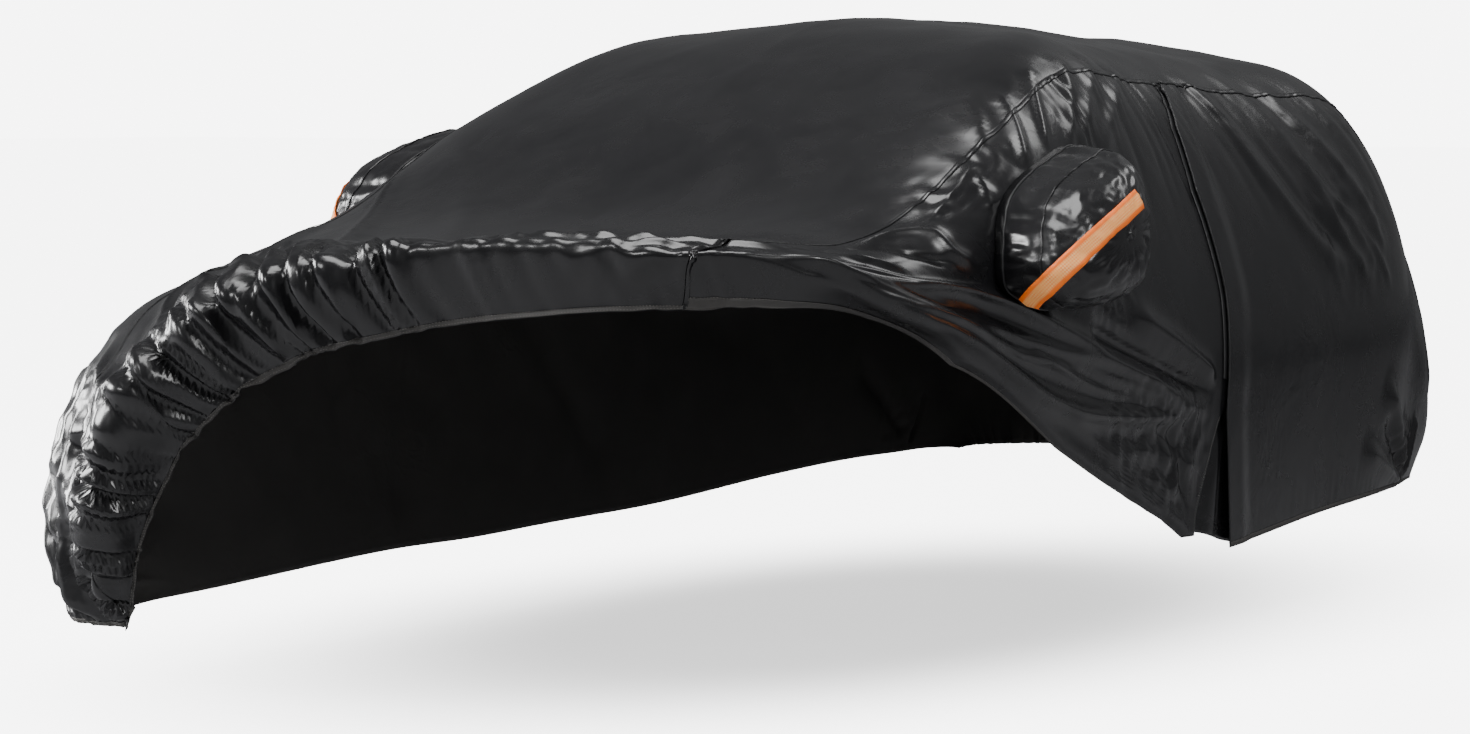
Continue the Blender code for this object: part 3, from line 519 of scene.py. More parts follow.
def fold_height(across, along):
    """All the folds: each a ridge exp(-(distance / half width) ^ sharpness), fading at both ends."""
    east, north = across * METRES_ACROSS, along * METRES_ALONG
    height = np.zeros(across.shape)
    for places, width_start, width_end, rise, sharp in FOLDS:
        spots = np.array(places)
        near = ((np.abs(across - spots[:, 0].mean()) < np.ptp(spots[:, 0]) / 2 + 0.12)
                & (np.abs(along - spots[:, 1].mean()) < np.ptp(spots[:, 1]) / 2 + 0.04))
        if not near.any():
            continue
        distance, reached = beside_line(places, east[near], north[near])
        width = width_start + (width_end - width_start) * reached
        ends = smooth_step(reached / 0.22) * smooth_step((1 - reached) / 0.16)
        rounded = np.sqrt(distance ** 2 + (0.25 * width) ** 2) - 0.25 * width
        height[near] += rise * ends * np.exp(-(rounded / width) ** sharp)
    return height


def crumple(east, north, size, seed, bend=0.35):
    """Facets between straight creases: triangle waves in five directions, each bent by slower waves."""
    random = np.random.default_rng(seed)
    total = np.zeros(east.shape)
    for angle in np.pi * (np.arange(5) + random.uniform(0, 0.8, 5)) / 5:
        pace = random.uniform(0.7, 1.5) / size
        phase = random.uniform(0, 1, 3)
        run = east * np.cos(angle) + north * np.sin(angle)
        aside = north * np.cos(angle) - east * np.sin(angle)
        place = pace * run + phase[0]
        place = place + bend * np.sin(2 * np.pi * (0.55 * pace * aside + phase[1]))
        place = place + 0.6 * bend * np.sin(2 * np.pi * (0.31 * pace * run + phase[2]))
        total += np.abs(place % 1 * 2 - 1) - 0.5
    return total / 2.5


# Where the cloth is crumpled: middle across and along, reach across and along, facet size, depth and seed.
CRUMPLES = (
    (-0.58, 0.060, 0.32, 0.090, 0.20, 0.020, 3),
    (-0.50, 0.050, 0.30, 0.080, 0.075, 0.0035, 4),
    (-0.22, 0.095, 0.24, 0.055, 0.105, 0.011, 19),
    (-0.10, 0.140, 0.26, 0.040, 0.120, 0.016, 5),
    (0.30, 0.180, 0.28, 0.030, 0.090, 0.012, 6),
    (0.86, 0.480, 0.13, 0.080, 0.110, 0.0075, 7),
    (0.86, 0.480, 0.13, 0.080, 0.050, 0.0028, 8),
    (0.66, 0.440, 0.10, 0.040, 0.070, 0.006, 9),
    (0.44, 0.340, 0.10, 0.060, 0.120, 0.006, 10),
    (0.62, 0.720, 0.14, 0.060, 0.090, 0.005, 11),
    (0.94, 0.840, 0.09, 0.050, 0.100, 0.008, 12),
    (-0.60, 0.400, 0.16, 0.070, 0.100, 0.007, 13),
    (-0.94, 0.840, 0.09, 0.050, 0.100, 0.008, 14),
    (0.00, 0.900, 0.60, 0.080, 0.260, 0.007, 15),
    (-0.80, 0.450, 0.24, 0.400, 0.300, 0.006, 16),
    (0.00, 0.500, 1.20, 0.600, 0.340, 0.0022, 17),
    (0.00, 0.500, 1.20, 0.600, 0.120, 0.0006, 18),
)


def crumple_height(across, along):
    """The crumples, each in a round patch that fades to its rim."""
    east, north = across * METRES_ACROSS, along * METRES_ALONG
    height = np.zeros(across.shape)
    for middle_across, middle_along, reach_across, reach_along, size, depth, seed in CRUMPLES:
        away = np.hypot((across - middle_across) / reach_across, (along - middle_along) / reach_along)
        near = away < 1
        if near.any():
            patch = smooth_step(1.5 * (1 - away[near]))
            height[near] += depth * patch * crumple(east[near], north[near], size, seed)
    return height


# Pleats from the elastic in the front hem: wave length, height, where they start and reach their full
# height behind the hem, where they start to fade and are gone, and their phase.
PLEATS = (
    (0.034, 0.0035, -0.02, 0.000, 0.015, 0.045, 0.1),
    (0.056, 0.0135, -0.010, 0.020, 0.080, 0.170, 0.4),
    (0.094, 0.0250, -0.010, 0.045, 0.130, 0.260, 0.8),
    (0.190, 0.0240, 0.020, 0.100, 0.220, 0.420, 0.3),
)
# How strong the pleats are along the front hem, by place across.
PLEATED = ((-1.00, 0.30), (-0.80, 0.55), (-0.60, 0.85), (-0.42, 1.00), (-0.30, 1.05), (-0.05, 1.00),
           (0.05, 0.80), (0.13, 0.40), (0.25, 0.08), (0.45, 0.00), (0.975, 0.00))
# How far the cloth slides towards each crest, as a share of the pleat's height above FINE_PLEAT, and how
# round the valleys are.
SLIDE = 0.20
VALLEY_ROUND = 0.14
FINE_PLEAT = 0.0045
HEM_SAMPLES = 900


def from_front_hem(across, along):
    """For each point, the nearest place on the front hem: its distance, its run along the hem from the
    right rear, its place across, and the direction of the hem there in metres across and along."""
    hem_across = np.linspace(-1.0, 0.975, HEM_SAMPLES)
    hem = np.stack([hem_across * METRES_ACROSS, on_line(FRONT_HEM, hem_across) * METRES_ALONG], -1)
    # round the hem's corners, so that the pleats turn evenly round them
    width = HEM_SAMPLES // 30
    kernel = np.hanning(2 * width + 1)
    padded = np.pad(hem, ((width, width), (0, 0)), mode="reflect", reflect_type="odd")
    hem = np.stack([np.convolve(padded[:, axis], kernel / kernel.sum(), "valid") for axis in (0, 1)], -1)
    step = np.gradient(hem, axis=0)
    run = np.concatenate([[0], np.cumsum(np.hypot(*np.diff(hem, axis=0).T))])
    points = np.stack([across * METRES_ACROSS, along * METRES_ALONG], -1).reshape(-1, 2)
    nearest = np.empty(len(points), int)
    for start in range(0, len(points), 20000):
        block = points[start:start + 20000]
        gap = (block[:, None, 0] - hem[None, :, 0]) ** 2 + (block[:, None, 1] - hem[None, :, 1]) ** 2
        nearest[start:start + 20000] = gap.argmin(1)
    # the closest point on the stretch before or behind the nearest sample, so that the run is even
    offset = points - hem[nearest]
    best = np.linalg.norm(offset, axis=1)
    distance, share, beside = best, np.zeros(len(points)), nearest
    for way in (1, -1):
        other = np.clip(nearest + way, 0, HEM_SAMPLES - 1)
        stretch = hem[other] - hem[nearest]
        part = np.clip((offset * stretch).sum(1) / np.maximum((stretch ** 2).sum(1), 1e-12), 0, 1)
        gap = np.linalg.norm(offset - part[:, None] * stretch, axis=1)
        closer = gap < distance
        distance, share = np.where(closer, gap, distance), np.where(closer, part, share)
        beside = np.where(closer, other, beside)
    towards = step[nearest] + share[:, None] * (step[beside] - step[nearest])
    towards = towards / np.linalg.norm(towards, axis=1, keepdims=True)
    reached = run[nearest] + share * (run[beside] - run[nearest])
    shape = across.shape
    return (distance.reshape(shape), reached.reshape(shape), hem_across[nearest].reshape(shape),
            towards.reshape(shape + (2,)))


def pleat_wave(run, length, phase):
    """A wave along the hem from -1 to 1 with round crests and narrow valleys, its spacing uneven, and how
    far the cloth slides towards each crest."""
    place = run / length + phase
    place = place + 0.38 * np.sin(2 * np.pi * (run / (length * 4.3) + phase * 2.0))
    place = place + 0.22 * np.sin(2 * np.pi * (run / (length * 2.2) + phase * 5.0))
    place = place + 0.11 * np.sin(2 * np.pi * place)
    crest = np.sqrt(np.sin(np.pi * place) ** 2 + VALLEY_ROUND ** 2) * 2 - 1
    uneven = 0.72 + 0.28 * np.sin(2 * np.pi * (run / (length * 3.1) + phase * 3.0))
    return crest * uneven, np.sin(2 * np.pi * place) * uneven


def hem_pleats(across, along):
    """Height of the pleats and their slide along the hem, in metres across and along."""
    distance, run, foot, towards = from_front_hem(across, along)
    strength = np.interp(foot, *np.array(PLEATED).T)
    height = np.zeros(across.shape)
    slide = np.zeros(across.shape)
    for length, rise, start, full, fade, gone, phase in PLEATS:
        here = smooth_step((distance - start) / (full - start))
        here = here * (1 - smooth_step((distance - fade) / (gone - fade)))
        drift = run + 0.35 * distance + 0.05 * length * np.sin(distance / length * 3)
        crest, sideways = pleat_wave(drift, length, phase)
        height += rise * here * crest
        slide += SLIDE * max(rise - FINE_PLEAT, 0) * here * sideways
    return height * strength, (slide * strength)[..., None] * towards


def rail_wrinkles(across, along):
    """Small pleats that hang from the two rail seams, leaning back towards the tail."""
    below = (np.abs(across) - RAIL_ACROSS) * METRES_ACROSS
    place = along * METRES_ALONG - 0.55 * np.clip(below, 0, None) * smooth_step((along - 0.5) / 0.2)
    here = smooth_step((below + 0.12) / 0.14) * (1 - smooth_step((below - 0.06) / 0.38))
    here = here * smooth_step((along - 0.40) / 0.06) * (1 - 0.6 * smooth_step((along - 0.78) / 0.06))
    wide = pleat_wave(place, 0.105, 0.2)[0]
    fine = pleat_wave(place, 0.048, 0.6)[0] * smooth_step((0.30 - below) / 0.2)
    return here * (0.0036 * wide + 0.0016 * fine)


def low_hem_gathers(across, along):
    """Small puckers along the elastic of the side and rear hems."""
    side = (1 - np.abs(across)) * METRES_ACROSS
    rear = (1 - along) * METRES_ALONG
    side_wave = pleat_wave(along * METRES_ALONG, 0.06, 0.3)[0] * (1 - smooth_step(side / 0.16))
    rear_wave = pleat_wave(across * METRES_ACROSS, 0.055, 0.7)[0] * (1 - smooth_step(rear / 0.18))
    return 0.0006 * side_wave * smooth_step((along - 0.60) / 0.05) + 0.0060 * rear_wave


def cover_surface(across, along, lift=0.0):
    """The draped cover with all its folds, pleats and crumples, and lift above it."""
    across, along = np.broadcast_arrays(np.asarray(across, float), np.asarray(along, float))
    pleats, slide = hem_pleats(across, along)
    height = pleats + fold_height(across, along) + crumple_height(across, along)
    height = height + rail_wrinkles(across, along) + low_hem_gathers(across, along) + lift
    slid_across = across + slide[..., 0] / METRES_ACROSS
    slid_along = along + slide[..., 1] / METRES_ALONG
    return drape(slid_across, slid_along) + outward(drape, across, along) * height[..., None]


def sewn_mesh(name, points, kept=None, finishes=(), thickness=0.0012, uv=None, closed=False):
    """A piece from a grid of points, shaded smooth, its sheet thickened inwards by a Solidify modifier.

    kept says which cells of the grid are cloth. closed joins the last column to the first.
    """
    rows, columns = points.shape[:2]
    number = np.arange(rows * columns).reshape(rows, columns)
    if closed:
        number = np.concatenate([number, number[:, :1]], 1)
    cells = np.stack([number[:-1, :-1], number[:-1, 1:], number[1:, 1:], number[1:, :-1]], -1)
    cells = cells.reshape(-1, 4) if kept is None else cells[kept]
    used, cells = np.unique(cells, return_inverse=True)
    cells = cells.reshape(-1, 4)
    mesh = bpy.data.meshes.new(name)
    mesh.from_pydata(points.reshape(-1, 3)[used].tolist(), [], cells.tolist())
    if uv is not None:
        layer = mesh.uv_layers.new(name="cut")
        corner_uv = uv.reshape(-1, 2)[used][cells.reshape(-1)]
        layer.data.foreach_set("uv", corner_uv.astype(np.float32).reshape(-1))
    mesh.shade_smooth()
    for finish in finishes:
        mesh.materials.append(finish)
    piece = bpy.data.objects.new(name, mesh)
    bpy.context.scene.collection.objects.link(piece)
    if thickness:
        solid = piece.modifiers.new("thickness", "SOLIDIFY")
        solid.thickness = thickness
        solid.offset = -1.0
        solid.use_even_offset = False
        solid.material_offset = 1 if len(finishes) > 1 else 0
        solid.material_offset_rim = 0
    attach(piece, "root")
    return piece


def spaced(*runs):
    """Distances that rise in steps: runs of (end, step), one after another."""
    places = [0.0]
    for end, step in runs:
        count = max(int(round((end - places[-1]) / step)), 1)
        places.extend(np.linspace(places[-1], end, count + 1)[1:].tolist())
    return np.array(places)


SEAM_HALF_GAP = 0.0006 / METRES_ACROSS
TOP_LENGTH = 5.2
top_rows = spaced((0.16, 0.0056), (0.50, 0.0080), (1.20, 0.019), (TOP_LENGTH, 0.028))[:, None] / TOP_LENGTH
top_columns = RAIL_ACROSS - SEAM_HALF_GAP - spaced((0.34, 0.0062), (0.84 - 2 * SEAM_HALF_GAP, 0.0044))[::-1]
top_across = top_columns[None, :] + 0 * top_rows
top_front = on_line(FRONT_HEM, top_columns)[None, :]
top_along = top_front + (1 - top_front) * top_rows
top_points = cover_surface(top_across, top_along)
top = sewn_mesh("top_cloth", top_points, finishes=(coated, backing))
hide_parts("top_panel")

# ---------------------------------------------------------------------------------------------------------
# Right side panel: one piece from the front hem to the rear hem, hanging from the right rail seam. Its front
# corner is slack and crumpled, and a hole for the mirror pocket is cut in it.
# ---------------------------------------------------------------------------------------------------------
POCKET_SQUARENESS = 3.4
POCKET_LEAN = 0.013
POCKET_HOLE = 0.93


def clear_of_pocket(across, along, side):
    """Which cells of a grid lie outside a pocket's hole: a squarish round, leaning with the mirror."""
    middle_across, middle_along, half_across, half_along = POCKETS[side][:4]
    height = (across - middle_across) / half_across
    length = (along - middle_along + np.sign(middle_across) * height * POCKET_LEAN) / half_along
    power = POCKET_SQUARENESS
    away = (np.abs(length) ** power + np.abs(height) ** power) ** (1 / power)
    return (away[:-1, :-1] + away[1:, 1:] + away[:-1, 1:] + away[1:, :-1]) / 4 > POCKET_HOLE


RIGHT_LENGTH = 5.6
right_rows = spaced((0.90, 0.0062), (1.40, 0.0120), (RIGHT_LENGTH, 0.0200))[:, None] / RIGHT_LENGTH
right_columns = -RAIL_ACROSS - SEAM_HALF_GAP - spaced((0.58 - SEAM_HALF_GAP, 0.0066))
right_across = right_columns[None, ::-1] + 0 * right_rows
right_along = right_rows + 0 * right_across
right_points = cover_surface(right_across, right_along)
right = sewn_mesh("right_side_cloth", right_points, clear_of_pocket(right_across, right_along, "right"),
                  (coated, backing))
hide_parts("side_panel_right")

# ---------------------------------------------------------------------------------------------------------
# Front left side panel: from the drawn back hem to the door opening, pulled into long folds by its own
# weight, with a flat loose corner at the bottom and a hole for the mirror pocket.
# ---------------------------------------------------------------------------------------------------------
FLAP_EDGE = ((0.42, 0.585), (0.50, 0.566), (0.58, 0.558), (0.70, 0.562), (0.84, 0.558), (1.00, 0.566))
DOOR_EDGE = ((0.42, 0.597), (0.50, 0.578), (0.58, 0.570), (0.70, 0.574), (0.80, 0.570), (0.85, 0.553),
             (0.93, 0.534), (1.00, 0.519))
LIFTED_CORNER = 0.975
front_columns = RAIL_ACROSS + SEAM_HALF_GAP + spaced((LIFTED_CORNER - RAIL_ACROSS - SEAM_HALF_GAP, 0.0050))
front_share = np.linspace(0, 1, 236)[:, None] ** 1.2
front_hem = on_line(FRONT_HEM, front_columns)[None, :]
front_door = on_line(DOOR_EDGE, front_columns)[None, :]
front_across = front_columns[None, :] + 0 * front_share
front_along = front_hem + (front_door - front_hem) * front_share
front_points = cover_surface(front_across, front_along)
front_side = sewn_mesh("left_front_side_cloth", front_points,
                       clear_of_pocket(front_across, front_along, "left"),
                       (coated, backing))
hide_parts("side_panel_left_front")

# ---------------------------------------------------------------------------------------------------------
# Rear left side panel: hangs behind the door opening, its front edge a flap that stands a little off the
# cloth it overlaps. The elastic draws its rear bottom corner in.
# ---------------------------------------------------------------------------------------------------------
FLAP_LIFT = 0.009
FLAP_BLEND = 0.030


def flap_lift(across, along):
    """The flap stands FLAP_LIFT off the front cloth at its edge and comes down to it behind."""
    behind = (along - on_line(FLAP_EDGE, across)) / FLAP_BLEND
    return FLAP_LIFT * (1 - smooth_step((behind - 0.5) / 0.5))


rear_columns = RAIL_ACROSS + SEAM_HALF_GAP + spaced((1 - RAIL_ACROSS - SEAM_HALF_GAP, 0.0062))
rear_share = spaced((0.10, 0.0045), (1.0, 0.0060))[:, None]
rear_flap = on_line(FLAP_EDGE, rear_columns)[None, :]
rear_across = rear_columns[None, :] + 0 * rear_share
rear_along = rear_flap + (1 - rear_flap) * rear_share
rear_points = cover_surface(rear_across, rear_along, flap_lift(rear_across, rear_along))
rear_side = sewn_mesh("left_rear_side_cloth", rear_points, finishes=(coated, backing))
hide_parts("side_panel_left_rear")

# ---------------------------------------------------------------------------------------------------------
# Mirror pockets: a bag of the same cloth over each door mirror, its face seamed to a gusset and its mouth
# sewn into the side panel, drawn out squarish by the mirror and creased towards its sewn edge.
# ---------------------------------------------------------------------------------------------------------
POCKET_FULLNESS = 3.4
POCKET_FACING = (0.985, -0.17, 0.0)
POCKET_LIFT = 0.0020


def pocket_point(turn, rise, side, lift=0.0):
    """A pocket's outer face, turn degrees round it (0 to the tail, 90 down, 180 to the nose) and rise (0..1)
    of the way from its sewn edge to its tip: squarish rounds that shrink to the tip on a superellipse."""
    middle_across, middle_along, half_across, half_along, depth = POCKETS[side]
    sign = np.sign(middle_across)
    turn, rise = np.radians(turn), 0.5 * np.pi * np.clip(rise, 0, 1)
    square = (np.abs(np.cos(turn)) ** POCKET_SQUARENESS
              + np.abs(np.sin(turn)) ** POCKET_SQUARENESS) ** (1 / POCKET_SQUARENESS)
    shrink = np.cos(rise) ** (2 / POCKET_FULLNESS) / square
    across = middle_across + sign * shrink * np.sin(turn) * half_across
    along = middle_along + shrink * (np.cos(turn) * half_along - np.sin(turn) * POCKET_LEAN)
    reach = depth * np.sin(rise) ** (2 / POCKET_FULLNESS)
    flat = drape(across, along) + (POCKET_LIFT + lift) * outward(drape, across, along)
    near = (1 - smooth_step(rise / 0.12))[..., None]
    creased = cover_surface(across, along, POCKET_LIFT + lift)
    return flat + (creased - flat) * near + reach[..., None] * np.array(POCKET_FACING) * (sign, 1, 1)


def pocket_wrinkles(turn, rise, seed):
    """Creases that run from the sewn edge towards the tip and die out, a pinched hollow low on the tail
    side, and small crumples all over."""
    run = np.radians(turn)
    ring = pleat_wave(run * 0.13, 0.074, 0.15 * seed)[0] * np.exp(-(rise / 0.30) ** 2)
    fine = pleat_wave(run * 0.13, 0.033, 0.21 * seed)[0] * np.exp(-(rise / 0.16) ** 2)
    facets = crumple(run * 0.15, rise * 0.24, 0.085, 20 + seed)
    small = crumple(run * 0.15, rise * 0.24, 0.034, 30 + seed)
    hollow = np.exp(-((turn - 48) / 26) ** 2 - ((rise - 0.12) / 0.20) ** 2)
    calm = smooth_step(rise / 0.04) * (1 - smooth_step((rise - 0.84) / 0.14))
    return calm * (0.0045 * ring + 0.0022 * fine + 0.0050 * facets + 0.0020 * small - 0.018 * hollow)


def pocket_surface(turn, rise, side, lift=0.0):
    """The pocket with its wrinkles, and lift above it, along its own normals by differences."""
    turn, rise = np.broadcast_arrays(np.asarray(turn, float), np.asarray(rise, float))
    base = pocket_point(turn, rise, side)
    inner = np.clip(rise, 0.03, 0.97)
    round_it = pocket_point(turn + 1, inner, side) - pocket_point(turn - 1, inner, side)
    up_it = pocket_point(turn, inner + 0.01, side) - pocket_point(turn, inner - 0.01, side)
    normal = np.cross(round_it, up_it) * -np.sign(POCKETS[side][0])
    normal = normal / np.linalg.norm(normal, axis=-1, keepdims=True)
    seed = 1 if side == "left" else 2
    return base + (pocket_wrinkles(turn, rise, seed) + lift)[..., None] * normal


POCKET_TURNS = 144
pocket_turn = np.linspace(0, 360, POCKET_TURNS, endpoint=False)[None, :]
pocket_rise = np.linspace(0, 1, 60)[:, None]
for side in POCKETS:
    turns = pocket_turn[:, ::-1] if side == "left" else pocket_turn
    points = pocket_surface(turns, pocket_rise, side)
    points[-1] = points[-1].mean(0)
    sewn_mesh("mirror_pocket_cloth_" + side, points, finishes=(coated, backing),
                              thickness=0.0010, closed=True)
    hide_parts("mirror_pocket_" + side)

# ---------------------------------------------------------------------------------------------------------
# Piping of the mirror pockets: a thin corded edge round the seam of each bag's face, and another where its
# mouth is sewn to the side cloth.
# ---------------------------------------------------------------------------------------------------------
PIPE_SIDES = 8
FACE_SEAM_RISE = 0.24


def corded_edge(name, path, radius, finish, closed=False):
    """A round cord along a path of points: a circle square to the path at each point."""
    if closed:
        ahead = np.roll(path, -1, 0) - np.roll(path, 1, 0)
    else:
        ahead = np.gradient(path, axis=0)
    ahead = ahead / np.linalg.norm(ahead, axis=1, keepdims=True)
    centre = path.mean(0)
    side = np.cross(ahead, path - centre + 1e-6)
    side = side / np.linalg.norm(side, axis=1, keepdims=True)
    up = np.cross(side, ahead)
    turn = np.linspace(0, 2 * np.pi, PIPE_SIDES, endpoint=False)[None, :, None]
    ends = np.full(len(path), float(radius))
    if not closed:
        ends[[0, -1]] = 0.0
    rings = path[:, None] + ends[:, None, None] * (np.cos(turn) * side[:, None] + np.sin(turn) * up[:, None])
    if closed:
        rings = np.concatenate([rings, rings[:1]])
    cord = sewn_mesh(name, rings[:, ::-1], finishes=(finish,), thickness=0, closed=True)
    turn_outwards(cord)
    return cord


def turn_outwards(piece):
    """Weld a closed piece's doubled points and turn its faces out."""
    work = bmesh.new()
    work.from_mesh(piece.data)
    bmesh.ops.remove_doubles(work, verts=work.verts[:], dist=1e-6)
    bmesh.ops.recalc_face_normals(work, faces=work.faces[:])
    work.to_mesh(piece.data)
    work.free()


for side in POCKETS:
    face_turn = np.linspace(118, 335, 130)
    face_path = pocket_surface(face_turn, FACE_SEAM_RISE + 0 * face_turn, side, 0.0012)
    mouth_turn = np.linspace(0, 360, 120, endpoint=False)
    mouth_path = pocket_surface(mouth_turn, 0.015 + 0 * mouth_turn, side, 0.0012)
    face_cord = corded_edge("pocket_face_piping_" + side, face_path, 0.0024, coated)
    mouth_cord = corded_edge("pocket_mouth_piping_" + side, mouth_path, 0.0026, binding_finish, closed=True)

# ---------------------------------------------------------------------------------------------------------
# Reflective strips: a woven orange strip with a bright checked middle, laid flat over each mirror pocket
# from low at the front to high at the tip, and sewn down along both edges.
# ---------------------------------------------------------------------------------------------------------
# Where the strip starts and ends: degrees round the pocket, and share of the way to its tip.
STRIP_START = (130.0, 0.06)
STRIP_END = (305.0, 0.85)
STRIP_STEPS = 96
STRIP_WIDTH = 0.05
STRIP_SIDE_WALK = 3
STRIP_LOWEST = 0.03
STRIP_LIFT = 0.0030
STRIP_THICKNESS = 0.0009


def strip_middle(side):
    """The strip's middle line: it looks straight from the front quarter, so it runs where the plane through
    its two ends and the camera, mirrored for the right pocket, cuts the pocket. Its steps are even."""
    sign = np.sign(POCKETS[side][0])
    start, end = (pocket_point(*place, side) for place in (STRIP_START, STRIP_END))
    across_plane = np.cross(end - start, np.array(camera.location) * (sign, 1, 1) - start)
    turn = np.linspace(STRIP_START[0], STRIP_END[0], 4 * STRIP_STEPS)
    rises = np.linspace(0, 1, 300)
    beyond = (pocket_point(turn[None, :], rises[:, None], side) - start) @ across_plane
    cut = (beyond[:-1] * beyond[1:] <= 0).argmax(0)
    before, after = (np.take_along_axis(beyond, (cut + step)[None], 0)[0] for step in (0, 1))
    rise = rises[cut] + (rises[1] - rises[0]) * np.clip(before / (before - after), 0, 1)
    line = pocket_point(turn, rise, side)
    run = np.concatenate([[0], np.cumsum(np.linalg.norm(np.diff(line, axis=0), axis=1))])
    even = np.linspace(0, run[-1], STRIP_STEPS + 1)
    return np.interp(even, run, turn), np.interp(even, run, rise)


def strip_places(side):
    """Places (turn, rise) across the strip, a row for each step along it: each line beside the middle one is
    walked out from it in short steps square to it, over the pocket's surface."""
    turn, rise = strip_middle(side)
    ahead = np.gradient(pocket_point(turn, rise, side), axis=0)
    lines = {0: (turn, rise)}
    for way in (-1, 1):
        t, r = turn, rise
        for step in range(1, STRIP_SIDE_WALK + 1):
            per_turn = pocket_point(t + 1, r, side) - pocket_point(t - 1, r, side)
            per_rise = pocket_point(t, r + 0.01, side) - pocket_point(t, r - 0.01, side)
            aside = np.cross(np.cross(per_turn, per_rise), ahead)
            aside *= way * 0.5 * STRIP_WIDTH / STRIP_SIDE_WALK / np.linalg.norm(aside, axis=-1, keepdims=True)
            tt, tr, rr = [(one * two).sum(-1) for one, two in
                          ((per_turn, per_turn), (per_turn, per_rise), (per_rise, per_rise))]
            at, ar = (aside * per_turn).sum(-1), (aside * per_rise).sum(-1)
            size = tt * rr - tr * tr
            t = t + 2 * (at * rr - ar * tr) / size
            r = np.clip(r + 0.02 * (ar * tt - at * tr) / size, STRIP_LOWEST, 1)
            lines[way * step] = (t, r)
    order = range(-STRIP_SIDE_WALK, STRIP_SIDE_WALK + 1)
    return [np.stack([lines[place][axis] for place in order], -1) for axis in (0, 1)]


def make_strip_finish():
    """Orange woven edges and a checked middle of small bright beads, by the piece's own UV: u runs along the
    strip and v across it, both in metres."""
    finish = bpy.data.materials.new("reflective_strip_weave")
    finish.use_nodes = True
    tree = finish.node_tree
    shader = tree.nodes["Principled BSDF"]
    cut = joined(tree, "ShaderNodeUVMap", uv_map="cut").outputs["UV"]
    apart = joined(tree, "ShaderNodeSeparateXYZ", [("Vector", cut)])
    away = joined(tree, "ShaderNodeMath", [(0, apart.outputs["Y"])], operation="ABSOLUTE")
    edge = joined(tree, "ShaderNodeMapRange", [("Value", away.outputs[0])])
    edge.inputs["From Min"].default_value = 0.0135
    edge.inputs["From Max"].default_value = 0.0150
    turned = joined(tree, "ShaderNodeMapping", [("Vector", cut)])
    turned.inputs["Rotation"].default_value = (0, 0, np.radians(45))
    checks = joined(tree, "ShaderNodeTexChecker", [("Vector", turned.outputs[0])], Scale=230.0)
    checks.inputs["Color1"].default_value = (1.0, 0.52, 0.22, 1)
    checks.inputs["Color2"].default_value = (0.95, 0.27, 0.040, 1)
    wear = joined(tree, "ShaderNodeTexNoise", [("Vector", cut)], Scale=38.0, Detail=3.0)
    bands = joined(tree, "ShaderNodeMapRange", [("Value", wear.outputs["Fac"])])
    bands.inputs["From Min"].default_value = 0.40
    bands.inputs["From Max"].default_value = 0.65
    middle = joined(tree, "ShaderNodeMix", [("Factor", bands.outputs[0])], data_type="RGBA")
    tree.links.new(checks.outputs["Color"], middle.inputs[6])
    middle.inputs[7].default_value = (1.0, 0.42, 0.12, 1)
    woven = joined(tree, "ShaderNodeTexWave", [("Vector", cut)], Scale=260.0, Distortion=1.0)
    rim = joined(tree, "ShaderNodeMix", [("Factor", woven.outputs["Fac"])], data_type="RGBA")
    rim.inputs[6].default_value = (0.95, 0.15, 0.005, 1)
    rim.inputs[7].default_value = (1.0, 0.21, 0.010, 1)
    colour = joined(tree, "ShaderNodeMix", [("Factor", edge.outputs[0])], data_type="RGBA")
    tree.links.new(middle.outputs[2], colour.inputs[6])
    tree.links.new(rim.outputs[2], colour.inputs[7])
    tree.links.new(colour.outputs[2], shader.inputs["Base Color"])
    # the strip's own colour also glows a little: a painted glow that makes it brighter than the lamps alone
    # light it
    tree.links.new(colour.outputs[2], shader.inputs["Emission Color"])
    shader.inputs["Emission Strength"].default_value = 0.22
    shader.inputs["Roughness"].default_value = 0.40
    ribs = joined(tree, "ShaderNodeMath", [(0, woven.outputs["Fac"]), (1, checks.outputs["Fac"])],
                  operation="ADD")
    bump = joined(tree, "ShaderNodeBump", [("Height", ribs.outputs[0])])
    bump.inputs["Strength"].default_value = 0.6
    bump.inputs["Distance"].default_value = 0.0003
    tree.links.new(bump.outputs[0], shader.inputs["Normal"])
    return finish


strip_finish = make_strip_finish()
for side in POCKETS:
    strip_turn, strip_rise = strip_places(side)
    strip_points = pocket_surface(strip_turn, strip_rise, side, STRIP_LIFT + STRIP_THICKNESS)
    steps = np.linalg.norm(np.diff(strip_points[:, STRIP_SIDE_WALK], axis=0), axis=1)
    u = np.concatenate([[0], np.cumsum(steps)])[:, None] + 0 * strip_turn
    v = np.linspace(-0.5, 0.5, strip_turn.shape[1])[None, :] * STRIP_WIDTH + 0 * strip_turn
    order = slice(None, None, -1) if side == "left" else slice(None)
    sewn_mesh("reflective_strip_cloth_" + side, strip_points[:, order],
                             finishes=(strip_finish,), thickness=STRIP_THICKNESS,
                             uv=np.stack([u, v], -1)[:, order])
    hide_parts("reflective_strip_" + side)

# ---------------------------------------------------------------------------------------------------------
# Seams: a flat felled seam along each rail, where the top panel's edge laps the side panels. On the left it
# is in two parts, before and behind the door opening.
# ---------------------------------------------------------------------------------------------------------
SEAM_ACROSS = np.array([-0.0036, -0.0030, 0.0, 0.0030, 0.0036])
SEAM_PROUD = np.array([0.0012, 0.0019, 0.0022, 0.0019, 0.0012])


